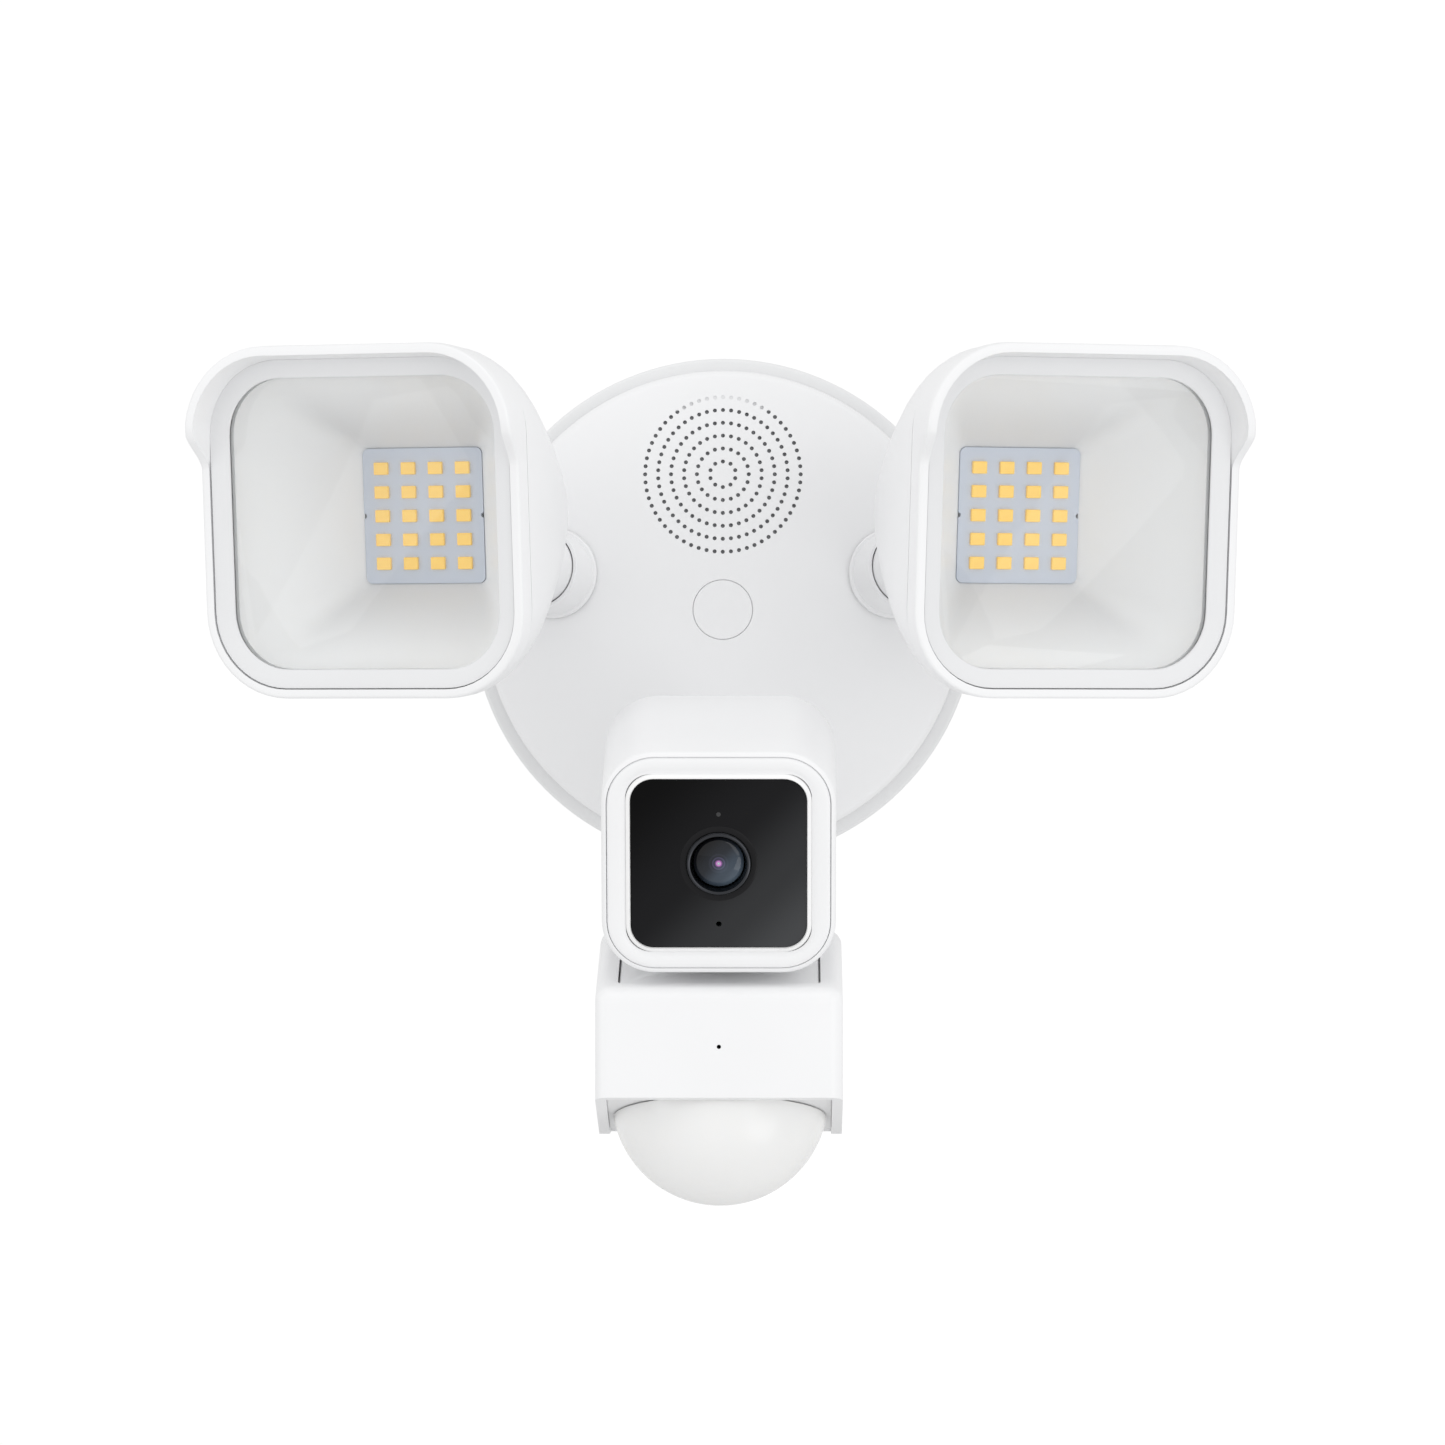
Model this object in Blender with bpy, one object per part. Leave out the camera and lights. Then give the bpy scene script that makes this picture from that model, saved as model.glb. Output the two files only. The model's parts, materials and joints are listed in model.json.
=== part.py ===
"""Wall floodlight: two swivelling lamp heads, a cube camera and a motion sensor on a round base.

Metres, +Z up, +X to the right of someone facing the light, +Y into the wall. The origin is the
centre of the mounting plate's back face, so the wall is the plane Y = 0 and the light faces -Y.
Each sub-assembly is drawn in a facing frame: local X right, local Y up, local Z out to the front.
"""
import math

import bmesh
import bpy
from mathutils import Matrix, Vector

# --- clearances ------------------------------------------------------------------------------
GAP = 0.0003                  # between still faces that touch
TURN_GAP = 0.0004             # round a part that turns or slides
CUT_PAST = 0.0010             # how far a cutting shape runs past what it cuts
ROUND_STEPS = 36              # sides of the plate and the cover
LENS_STEPS = 28               # sides of the motion lens
COLLAR_STEPS = 20             # sides of a lamp's collar and ball
SMALL_STEPS = 16              # sides of a pin, a boss or a hole
EYE_STEPS = 24                # sides of a lug's or a cheek's eye
ARC_STEPS = 3                 # sides in each rounded corner
DOME_STEPS = 6                # sides from the motion lens's rim to its middle
SMALL_CORNER = 0.0010

# --- base: plate, gasket, cover --------------------------------------------------------------
PLATE_RADIUS = 0.0600
PLATE_THICKNESS = 0.0030
PLATE_EDGE_ROUND = 0.0008
WIRE_HOLE_RADIUS = 0.0090
WIRE_HOLE_SIDE = 0.0190
WIRE_HOLE_UP = 0.0120
BOX_SLOT_LENGTH = 0.0120
BOX_SLOT_WIDTH = 0.0050
BOX_SLOT_SIDE = 0.0349        # from the centre, for junction-box screws 69.8 mm apart
BOSS_RADIUS = 0.0070
BOSS_TOP = 0.0120
GASKET_INNER = 0.0505
GASKET_WIDTH = 0.0050
GASKET_DEPTH = 0.0013
COVER_RADIUS = 0.0566
COVER_WALL = 0.0022
COVER_SHOULDER = 0.0130       # height of the upright edge above the wall
COVER_TOP = 0.0250            # height of the dome's middle above the wall
DOME_RADIUS = 0.1680          # radius of the sphere that the face is part of
COVER_EDGE_STEP = 0.0012      # width of the bevel between the upright edge and the face
COVER_FACETS = (0.0430, 0.0280)   # radii at which the face's facets meet
PLUG_RADIUS = 0.00695
PLUG_THICKNESS = 0.0022
PLUG_LEG = 0.0014
SCREW_RADIUS = 0.0021
SCREW_HEAD_RADIUS = 0.0042
SCREW_HEAD_HEIGHT = 0.0020
SCREW_HEAD_EDGE = 0.0012      # height of its head's upright edge
SCREW_POCKET = 0.0062         # how far the screw pocket's floor lies below the dome's middle

# --- what the base holds ---------------------------------------------------------------------
SPEAKER_ROOM = 0.0069         # between the boss in the middle and the speaker
SPEAKER_EDGE = 0.0067         # between the speaker and the cover's outer face
SPEAKER_RADIUS = (COVER_RADIUS - SPEAKER_EDGE - BOSS_RADIUS - SPEAKER_ROOM) / 2.0
SPEAKER_HEIGHT = 0.0090
SPEAKER_UP = BOSS_RADIUS + SPEAKER_ROOM + SPEAKER_RADIUS
SPEAKER_CLEAR = 0.0012        # below the cover's underside
SPEAKER_MAGNET = (0.0090, 0.0030)     # radius and height
SPEAKER_RIM = (0.0020, 0.0025)        # width and height
SPEAKER_CONE = (0.0072, 0.0040)       # radius and depth of the cone's floor
SPEAKER_CAP_DEPTH = 0.0032    # depth of the cap in the cone's middle
POWER_BOARD_ROOM = 0.0080     # between the boss and the board's upper edge
POWER_BOARD_EDGE = 0.0156     # between its lower edge and the cover's outer face
POWER_BOARD_ENDS = 0.0070     # and between its lower corners and that face
POWER_BOARD_LOW = COVER_RADIUS - POWER_BOARD_EDGE
POWER_BOARD_HEIGHT = POWER_BOARD_LOW - BOSS_RADIUS - POWER_BOARD_ROOM
POWER_BOARD_DOWN = POWER_BOARD_LOW - POWER_BOARD_HEIGHT / 2.0
POWER_BOARD_WIDTH = 2.0 * math.sqrt((COVER_RADIUS - POWER_BOARD_ENDS) ** 2 - POWER_BOARD_LOW ** 2)
BOARD_THICKNESS = 0.0014
BOARD_LIFT = 0.0010           # above the mounting plate
TRANSFORMER_SIZE = (0.0130, 0.0120)
TRANSFORMER_HEIGHT = 0.0100
TRANSFORMER_PLACE = (-0.0120, 0.0020)
CAPACITOR_RADIUS = 0.0045
CAPACITOR_HEIGHT = 0.0090
CAPACITOR_PLACE = (0.0080, -0.0020)
TERMINAL_WIDTH = 0.0220
TERMINAL_HEIGHT = 0.0080
TERMINAL_DEPTH = 0.0080
TERMINAL_UP = 0.0125
TERMINAL_SIDE = 0.0220        # to the left of the centre
TERMINAL_WAYS = 3
WAY_RADIUS = 0.0018
WAY_FLOOR = 0.0030

# --- lamp swivels ----------------------------------------------------------------------------
COLLAR_SIDE = 0.0399          # where a collar's axis meets the cover, from the centre line
COLLAR_UP = 0.0086
COLLAR_YAW = 25.0             # degrees that the collar leans outwards
COLLAR_RISE = 8.0             # degrees that it leans up
BALL_RADIUS = 0.0088
COLLAR_AROUND = 0.0010        # from the ball to the collar's outer face
COLLAR_RADIUS = BALL_RADIUS + COLLAR_AROUND
COLLAR_WALL = 0.0006          # at its mouth
COLLAR_LENGTH = 0.0076
FLANGE_WIDTH = 0.0008         # how far the flange stands out round the collar
FLANGE_RADIUS = COLLAR_RADIUS + FLANGE_WIDTH
FLANGE_THICKNESS = 0.0009
SPIGOT_STEP = 0.0008          # how much narrower the bore is round the seat
COLLAR_LIP = 0.0012           # thickness of the floor behind the seat
WIRE_BORE = 0.0040            # the floor's hole for the lamp's wires
BALL_AHEAD = 0.0015           # how far the ball's centre stands out of the collar's mouth
SEAT_RIM = 0.0055             # how far behind the ball's centre the seat begins
SEAT_FLOOR = 0.0030
SEAT_HOLE = 0.0020            # radius of its hole for the lamp's wires
SEAT_STEPS = 5                # sides of the hollow's profile
BALL_STEPS = 7                # sides of the ball's profile
NECK_STEP = 0.0006            # how much slimmer the neck is than the ball
NECK_RADIUS = BALL_RADIUS - NECK_STEP
SPINDLE_RADIUS = 0.0036
NUT_RADIUS = 0.0066
NUT_HEIGHT = 0.0030

# --- lamp heads ------------------------------------------------------------------------------
HEAD_YAW = 22.4               # degrees that each head faces outwards
HEAD_PITCH = 4.5              # degrees that it faces down
BALL_SIDE = 0.0075            # the ball's centre from the head's axis, towards the base
BALL_BEHIND = 0.0767          # and behind the front of the glass
HEAD_SIZE = 0.0790
BALL_EDGE = 0.0161            # the ball's lowest point above the head's lower edge
BALL_DROP = HEAD_SIZE / 2.0 - BALL_EDGE - BALL_RADIUS
HEAD_CORNER = 0.0195
HEAD_DEPTH = 0.0702           # from the glass to the dome's back
HEAD_SHARES = (0.24, 0.45, 0.64, 0.80, 0.92, 0.985)   # of that depth, where the facets meet
HEAD_ROUND_BY = 0.64          # the share at which the outline has become a circle
HEAD_WALL = 0.0020
POCKET_FLOOR = 0.0500         # depth of the flat that the neck turns on
POCKET_FLOOR_THICKNESS = 0.0022
RIM_AHEAD = 0.0020            # the rim's face ahead of the glass
RIM_BACK = 0.0030             # the rim's back edge behind the front of the glass
RIM_WIDTH = 0.0023
HOOD_REACH = 0.0062           # how far the hood stands out from the rim
HOOD_HIGH = HEAD_SIZE / 2.0 - HEAD_CORNER     # height at which the hood has its full reach
HOOD_RISE = 0.0070            # and how far below that its edge starts to leave the rim
HOOD_LOW = HOOD_HIGH - HOOD_RISE
HOOD_FLARE = 0.025            # how much wider the hood's front edge is than the rim
HOOD_STEPS = 4
FRAME_WIDTH = 0.0065          # from the head's side to the opening
OPENING_SIZE = HEAD_SIZE - 2.0 * FRAME_WIDTH
OPENING_CORNER = 0.0130
FRAME_BACK = 0.0001           # the inner frame's back, behind the front of the head
FRAME_LIP = 0.0003            # its edge at the opening
GLASS_INSIDE = 0.0038         # from the head's side to the glass
GLASS_SIZE = HEAD_SIZE - 2.0 * GLASS_INSIDE
GLASS_THICKNESS = 0.0026
SEAL_THICKNESS = 0.0012
REFLECTOR_WALL = 0.0012
LED_BOARD_WIDTH = 0.0300
LED_BOARD_HEIGHT = 0.0310
LED_BOARD_DEPTH = 0.0318
LED_BOARD_CORNER = 0.0015
LED_BOARD_THICKNESS = 0.0010
LED_COLUMNS = 4
LED_ROWS = 5
LED_PITCH_ACROSS = 0.00684
LED_PITCH_UP = 0.00546
LED_WIDTH = 0.0035
LED_HEIGHT = 0.0028
LED_STAND = 0.0007
SINK_INSIDE = 0.0175          # from the head's side to the heat sink
SINK_SIZE = HEAD_SIZE - 2.0 * SINK_INSIDE
SINK_CORNER = 0.0100
SINK_PLATE = 0.0026
FIN_COUNT = 7
FIN_THICKNESS = 0.0014
FIN_INSIDE = 0.0055           # from the heat sink's side to the fins' ends
FIN_WIDTH = SINK_SIZE - 2.0 * FIN_INSIDE
FIN_HEIGHT = 0.0075

# --- arm between the base and the sensor -----------------------------------------------------
PAN_PIN_OUT = 0.0320          # upright pin's distance from the wall
ARM_DOWN = 0.0440             # height of the arm's pins below the centre
HUB_RADIUS = 0.0070
HUB_HEIGHT = 0.0140
SHELF_THICKNESS = 0.0030
BRACKET_WIDTH = 0.0150
BRACKET_CORNER = 0.0020
BRACKET_SEAT_STEPS = 14       # sides of the hollow in its back, from the cover's edge to its top
HUB_ROOM = 0.0015             # between the yoke's hub and the bracket behind it
ARM_PIN_RADIUS = 0.0025
PIN_HEAD = 0.0012
PIN_HEAD_EDGE = 0.0014        # how far its head stands out all round
TILT_PIN_OUT = 0.0480         # level pin's distance from the wall
LUG_WIDTH = 0.0120
LUG_RADIUS = 0.0065
CHEEK_THICKNESS = 0.0035
YOKE_NECK = 0.0024            # thickness of the yoke's back
ARM_CORNER = 0.0040
ARM_STATIONS = (              # width, thickness, out and down from the level pin, lean (degrees)
    (LUG_WIDTH, 0.0110, 0.0010, 0.0040, 0.0),
    (0.0140, 0.0120, 0.0015, 0.0130, 8.0),
    (0.0220, 0.0130, 0.0045, 0.0260, 25.0),
    (0.0300, 0.0150, 0.0110, 0.0400, 60.0),
)
ARM_FOOT = (0.0340, 0.0260)   # the arm's end on the sensor housing
ARM_FOOT_DOWN = 0.0500

# --- sensor housing --------------------------------------------------------------------------
SENSOR_WIDTH = 0.0551
SENSOR_WALL = 0.0024
SENSOR_FRONT = 0.1210         # front face, distance from the wall
SENSOR_BACK = 0.0680
SENSOR_TOP = 0.0858           # front face's top and bottom edges, below the centre
SENSOR_BOTTOM = 0.1098
SENSOR_TOP_SLOPE = 13.0       # degrees that the top climbs towards the wall
SENSOR_BASE_SLOPE = 14.3      # degrees that the open underside falls towards the wall
SENSOR_LOWEST = 0.1200
SENSOR_EDGE = 0.0030
CAVITY_DROP = 0.0100          # how far the shape that hollows it runs out of the open underside
WELL_BITE = 0.0007            # how far the foot's well runs into the housing's walls
MICROPHONE_RADIUS = 0.0006
MICROPHONE_DOWN = 0.0985
PIR_RADIUS = 0.0240
PIR_HEIGHT = 0.0198
PIR_WALL = 0.0012
PIR_OUT = 0.0952              # centre of the dome's base, distance from the wall
BASE_PLATE_THICKNESS = 0.0020
BASE_PLATE_SINK = 0.0012
BASE_PLATE_BACK = 0.0171      # its back edge from the dome's middle, along the slope
BASE_PLATE_LIP = 0.0020       # how far it runs under the dome's rim
PIR_BOARD_WIDTH = 0.0364
PIR_BOARD_HEIGHT = 0.0260
PIR_BOARD_LIFT = 0.0060
DETECTOR_RADIUS = 0.0045
DETECTOR_HEIGHT = 0.0042
DETECTOR_REACH = 0.0075       # of each detector from the dome's middle
DETECTOR_ANGLES = (("left", 210.0), ("front", 90.0), ("right", 330.0))

# --- camera ----------------------------------------------------------------------------------
CAMERA_OUT = 0.1260           # centre of the camera's face, distance from the wall
CAMERA_DOWN = 0.0577
CAMERA_PITCH = 15.5
CAMERA_WIDTH = 0.0520
CAMERA_HEIGHT = 0.0510
CAMERA_DEPTH = 0.0520
CAMERA_CORNER = 0.0120
CAMERA_WALL = 0.0020
CAMERA_BACK_ROUND = 0.0050
CAMERA_EDGE = 0.0008          # bevel round the shell's front edge
BEZEL_MARGIN = 0.0012         # the shell's edge round the bezel
BEZEL_THICKNESS = 0.0025
BEZEL_SIDE = 0.0042           # the bezel's width beside the raised ring
BEZEL_END = 0.0038            # and above and below it
RING_WIDTH = CAMERA_WIDTH - 2.0 * (BEZEL_MARGIN + BEZEL_SIDE)
RING_HEIGHT = CAMERA_HEIGHT - 2.0 * (BEZEL_MARGIN + BEZEL_END)
RING_STAND = 0.0007
RING_WALL = 0.0009
RING_CORNER = 0.0062
PANEL_THICKNESS = 0.0015
LENS_RING_RADIUS = 0.0072
LENS_RING_BACK = 0.0012       # how far the lens's ring runs behind the panel
LENS_RING_STAND = 0.0008
LENS_RING_EDGE = 0.0005
LENS_RADIUS = 0.0056
LENS_SEAT = 0.0006            # the lens's back behind the panel's
LENS_STATIONS = ((1.0, -0.0012), (0.80, -0.0002), (0.42, 0.0006), (0.0, 0.0008))
BARREL_LENGTH = 0.0110
CAMERA_BOARD_SIDE = 0.0070    # between the board and the camera's side
CAMERA_BOARD_END = 0.0075     # and between it and the camera's top and underside
CAMERA_BOARD_WIDTH = CAMERA_WIDTH - 2.0 * CAMERA_BOARD_SIDE
CAMERA_BOARD_HEIGHT = CAMERA_HEIGHT - 2.0 * CAMERA_BOARD_END
CAMERA_BOARD_CORNER = 0.0030
PROCESSOR_SIZE = (0.0120, 0.0120)
PROCESSOR_HEIGHT = 0.0016
IR_BOARD_BEHIND = 0.0020      # behind the bezel
IR_BOARD_THICKNESS = 0.0010
IR_BOARD_RADIUS = 0.0150
IR_LED_RADIUS = 0.0018
IR_LED_HEIGHT = 0.0015
IR_LED_COUNT = 4
HINGE_AHEAD = 0.0070          # hinge pin from the camera's back
HINGE_BELOW = 0.0026          # and below its underside
HINGE_PIN_RADIUS = 0.0010
HINGE_KNUCKLE_RADIUS = 0.0023
HINGE_LUG_WIDTH = 0.0120
HINGE_LUG_THICKNESS = 0.0041
FOOT_WIDTH = 0.0444
FOOT_LENGTH = 0.0440
FOOT_SINK = 0.0036            # depth of the foot's seat in the sensor housing
FOOT_STAND = -0.0004          # its top, from the housing's sloping top
FOOT_KNUCKLE_WIDTH = 0.0060
BUTTON_RADIUS = 0.0030
BUTTON_STAND = 0.0008
BUTTON_CATCH_WIDTH = 0.0010   # how far its catch stands out all round
BUTTON_CATCH_THICKNESS = 0.0016
BUTTON_BACK = 0.0140          # the button from the camera's face


# --- tools -----------------------------------------------------------------------------------
def facing(out, side=0.0, up=0.0, yaw=0.0, pitch=0.0):
    """A frame at that distance from the wall, turned outwards by yaw and down by pitch."""
    turn = Matrix.Rotation(math.radians(yaw), 4, "Z")
    lean = Matrix.Rotation(math.radians(90.0 + pitch), 4, "X")
    return Matrix.Translation((side, -out, up)) @ turn @ lean


def shift(x=0.0, y=0.0, z=0.0):
    """A move inside a frame."""
    return Matrix.Translation((x, y, z))


def finish(name, colour, roughness, metallic=0.0):
    """A piece's own material."""
    look = bpy.data.materials.new(name)
    look.use_nodes = True
    shader = look.node_tree.nodes["Principled BSDF"]
    shader.inputs["Base Color"].default_value = (*colour, 1.0)
    shader.inputs["Roughness"].default_value = roughness
    shader.inputs["Metallic"].default_value = metallic
    return look


LOOKS = {
    "white": ((0.86, 0.865, 0.87), 0.42, 0.0),
    "grey": ((0.70, 0.71, 0.73), 0.45, 0.0),
    "reflector": ((0.92, 0.92, 0.93), 0.35, 0.0),
    "glass": ((0.93, 0.95, 0.96), 0.05, 0.0),
    "black": ((0.012, 0.012, 0.013), 0.12, 0.0),
    "lens": ((0.02, 0.03, 0.05), 0.04, 0.0),
    "milky": ((0.90, 0.90, 0.87), 0.35, 0.0),
    "rubber": ((0.08, 0.08, 0.08), 0.80, 0.0),
    "board": ((0.62, 0.66, 0.72), 0.50, 0.0),
    "green_board": ((0.03, 0.16, 0.07), 0.50, 0.0),
    "nylon": ((0.30, 0.31, 0.32), 0.55, 0.0),
    "metal": ((0.66, 0.66, 0.67), 0.30, 1.0),
}


def add_piece(name, mesh, look, frame, pivot=None):
    """Makes the piece, in its frame, carried by its joint's pivot if it moves."""
    bmesh.ops.recalc_face_normals(mesh, faces=mesh.faces)
    data = bpy.data.meshes.new(name)
    mesh.to_mesh(data)
    mesh.free()
    data.shade_smooth()
    data.set_sharp_from_angle(angle=math.radians(35.0))
    piece = bpy.data.objects.new(name, data)
    bpy.context.scene.collection.objects.link(piece)
    piece.data.materials.append(finish(name, *LOOKS[look]))
    if pivot is not None:
        piece.parent = pivot
        piece.matrix_parent_inverse = Matrix.Translation(pivot.location).inverted()
    piece.matrix_basis = frame
    return piece


def add_pivot(name, location):
    """An empty on a joint's axis, which carries the pieces that turn there."""
    pivot = bpy.data.objects.new(name, None)
    pivot.location = location
    bpy.context.scene.collection.objects.link(pivot)
    return pivot


def loft(name, rings, look, frame, pivot=None, round_trip=False):
    """A skin over rings of equal length: capped at both ends, or closed from last to first."""
    mesh = bmesh.new()
    loops = [[mesh.verts.new(point) for point in ring] for ring in rings]
    pairs = list(zip(loops, loops[1:]))
    if round_trip:
        pairs.append((loops[-1], loops[0]))
    for lower, upper in pairs:
        for here in range(len(lower)):
            after = (here + 1) % len(lower)
            mesh.faces.new((lower[here], lower[after], upper[after], upper[here]))
    if not round_trip:
        mesh.faces.new(reversed(loops[0]))
        mesh.faces.new(loops[-1])
    return add_piece(name, mesh, look, frame, pivot)


def turned(name, profile, look, frame, pivot=None, steps=SMALL_STEPS, round_trip=True):
    """A profile of (radius, height) points turned about local Z."""
    mesh = bmesh.new()
    points = [mesh.verts.new((radius, 0.0, height)) for radius, height in profile]
    edges = [mesh.edges.new(pair) for pair in zip(points, points[1:])]
    if round_trip:
        edges.append(mesh.edges.new((points[-1], points[0])))
    bmesh.ops.spin(mesh, geom=points + edges, cent=(0.0, 0.0, 0.0), axis=(0.0, 0.0, 1.0),
                   angle=2.0 * math.pi, steps=steps, use_merge=True)
    bmesh.ops.remove_doubles(mesh, verts=mesh.verts, dist=1e-7)
    return add_piece(name, mesh, look, frame, pivot)


def rod(name, radius, low, high, look, frame, pivot=None, steps=SMALL_STEPS):
    """A plain cylinder from low to high along local Z."""
    profile = [(0.0, low), (radius, low), (radius, high), (0.0, high)]
    return turned(name, profile, look, frame, pivot, steps, round_trip=False)


def box(name, size, low, high, look, frame, pivot=None, corner=0.0):
    """A block of width and height, from low to high along local Z, with rounded corners."""
    rings = [outline(*size, corner, height) for height in (low, high)]
    return loft(name, rings, look, frame, pivot)


def outline(width, height, corner, z, side_points=()):
    """A rounded rectangle at height z, anticlockwise, with extra points up its upright sides."""
    half_width, half_height = width / 2.0, height / 2.0
    corner = min(corner, half_width, half_height)
    steps = ARC_STEPS if corner > 0.0 else 0
    points = []
    for quarter in range(4):
        along = 1.0 if quarter in (0, 1) else -1.0
        above = 1.0 if quarter in (1, 2) else -1.0
        for step in range(steps + 1):
            angle = math.radians(90.0 * (quarter - 1) + 90.0 * step / max(steps, 1))
            points.append((along * (half_width - corner) + corner * math.cos(angle),
                           above * (half_height - corner) + corner * math.sin(angle), z))
        if quarter == 0:
            points += [(half_width, height_here, z) for height_here in side_points]
        if quarter == 2:
            points += [(-half_width, height_here, z) for height_here in reversed(side_points)]
    return points


def change(piece, tool, operation):
    """Cuts the piece with a guide shape, joins the two, or keeps what they share."""
    tool.hide_render = True
    tool.display_type = "WIRE"
    step = piece.modifiers.new(tool.name, "BOOLEAN")
    step.operation = operation
    step.object = tool
    step.solver = "EXACT"


def cut(piece, tool):
    change(piece, tool, "DIFFERENCE")


def join(piece, tool):
    change(piece, tool, "UNION")


def arc(radius, start, end, steps, centre=(0.0, 0.0)):
    """Points along an arc, in degrees."""
    points = []
    for step in range(steps + 1):
        angle = math.radians(start + (end - start) * step / steps)
        points.append((centre[0] + radius * math.cos(angle), centre[1] + radius * math.sin(angle)))
    return points


def dome_height(radius, drop=0.0):
    """Height above the wall of the cover's face, or of the face drop below it."""
    sphere = DOME_RADIUS - drop
    return COVER_TOP - DOME_RADIUS + math.sqrt(sphere ** 2 - radius ** 2)


# --- base ------------------------------------------------------------------------------------
def make_plate(base):
    """The moulded plate that screws to the junction box, with a threaded boss in its middle."""
    edge = PLATE_RADIUS - PLATE_EDGE_ROUND
    groove_outer = GASKET_INNER + GASKET_WIDTH
    plate = turned("mount_plate", [
        (0.0, 0.0), (GASKET_INNER - GAP, 0.0), (GASKET_INNER - GAP, GASKET_DEPTH),
        (groove_outer + GAP, GASKET_DEPTH), (groove_outer + GAP, 0.0), (edge, 0.0),
        (PLATE_RADIUS, PLATE_EDGE_ROUND), (PLATE_RADIUS, PLATE_THICKNESS - PLATE_EDGE_ROUND),
        (edge, PLATE_THICKNESS), (BOSS_RADIUS, PLATE_THICKNESS), (BOSS_RADIUS, BOSS_TOP),
        (SCREW_RADIUS + GAP, BOSS_TOP), (SCREW_RADIUS + GAP, PLATE_THICKNESS),
        (0.0, PLATE_THICKNESS)], "grey", base, steps=ROUND_STEPS, round_trip=False)
    through = (-PLATE_THICKNESS, 2.0 * PLATE_THICKNESS)
    cut(plate, rod("plate_wire_hole", WIRE_HOLE_RADIUS, *through, "grey",
                   base @ shift(x=WIRE_HOLE_SIDE, y=WIRE_HOLE_UP)))
    for side, word in ((-1, "left"), (1, "right")):
        cut(plate, box(f"plate_slot_{word}", (BOX_SLOT_LENGTH, BOX_SLOT_WIDTH), *through, "grey",
                       base @ shift(x=side * BOX_SLOT_SIDE), corner=BOX_SLOT_WIDTH / 2.0))
    return plate


def make_gasket(base):
    """Foam ring in the plate's back, which seals it to the wall."""
    inner, outer = GASKET_INNER, GASKET_INNER + GASKET_WIDTH
    top = GASKET_DEPTH - GAP
    turned("wall_gasket", [(inner, 0.0), (outer, 0.0), (outer, top), (inner, top)],
           "rubber", base, steps=ROUND_STEPS)


def make_cover(base, collar_frames):
    """The domed cover, with a pocket for its one screw and a hole for each lamp collar."""
    foot = PLATE_THICKNESS + GAP
    inner = COVER_RADIUS - COVER_WALL
    shoulder = COVER_RADIUS - COVER_WALL / 2.0
    pocket = PLUG_RADIUS + TURN_GAP
    pocket_floor = COVER_TOP - SCREW_POCKET
    post = pocket + COVER_WALL
    shank_hole = SCREW_RADIUS + GAP
    face_radii = [shoulder - COVER_EDGE_STEP, *COVER_FACETS, pocket]
    under_radii = [post, *reversed(COVER_FACETS), inner]
    profile = [(inner, foot), (COVER_RADIUS, foot), (COVER_RADIUS, COVER_SHOULDER),
               (shoulder, COVER_SHOULDER + COVER_WALL / 2.0)]
    profile += [(radius, dome_height(radius)) for radius in face_radii]
    profile += [(pocket, pocket_floor), (shank_hole, pocket_floor),
                (shank_hole, BOSS_TOP + GAP), (post, BOSS_TOP + GAP)]
    profile += [(radius, dome_height(radius, COVER_WALL)) for radius in under_radii]
    cover = turned("dome_cover", profile, "white", base, steps=ROUND_STEPS)
    hole = COLLAR_RADIUS + GAP
    reach = COLLAR_RADIUS + COVER_WALL
    for word, frame in collar_frames.items():
        cut(cover, rod(f"cover_hole_{word}", hole, -reach, reach, "white", frame))
    return cover


def make_centre_plug(base):
    """Round cap over the cover's screw, pushed in and prised out again."""
    pivot = add_pivot("plug_pull", (0.0, -COVER_TOP, 0.0))
    low = COVER_TOP - PLUG_THICKNESS
    turned("centre_plug", [
        (0.0, low), (PLUG_RADIUS - PLUG_LEG, low), (PLUG_RADIUS - PLUG_LEG, low - PLUG_LEG),
        (PLUG_RADIUS, low - PLUG_LEG), (PLUG_RADIUS, dome_height(PLUG_RADIUS)),
        (PLUG_RADIUS / 2.0, dome_height(PLUG_RADIUS / 2.0)), (0.0, COVER_TOP)],
        "white", base, pivot, round_trip=False)


def make_cover_screw(base):
    """The one screw that holds the cover, driven into the plate's boss."""
    floor = COVER_TOP - SCREW_POCKET + GAP
    turned("cover_screw", [
        (0.0, PLATE_THICKNESS + GAP), (SCREW_RADIUS, PLATE_THICKNESS + GAP),
        (SCREW_RADIUS, floor), (SCREW_HEAD_RADIUS, floor),
        (SCREW_HEAD_RADIUS, floor + SCREW_HEAD_EDGE),
        (SCREW_RADIUS, floor + SCREW_HEAD_HEIGHT), (0.0, floor + SCREW_HEAD_HEIGHT)],
        "metal", base, round_trip=False)


def make_speaker(base):
    """Siren speaker behind the grille: magnet, basket and cone rim as one bought-in part."""
    top = dome_height(SPEAKER_UP + SPEAKER_RADIUS, COVER_WALL) - SPEAKER_CLEAR
    low = top - SPEAKER_HEIGHT
    magnet_radius, magnet_height = SPEAKER_MAGNET
    rim_width, rim_height = SPEAKER_RIM
    cone_radius, cone_depth = SPEAKER_CONE
    turned("siren_speaker", [
        (0.0, low), (magnet_radius, low), (magnet_radius, low + magnet_height),
        (SPEAKER_RADIUS, top - rim_height), (SPEAKER_RADIUS, top),
        (SPEAKER_RADIUS - rim_width, top), (cone_radius, top - cone_depth),
        (0.0, top - SPEAKER_CAP_DEPTH)],
        "nylon", base @ shift(y=SPEAKER_UP), round_trip=False)


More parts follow.
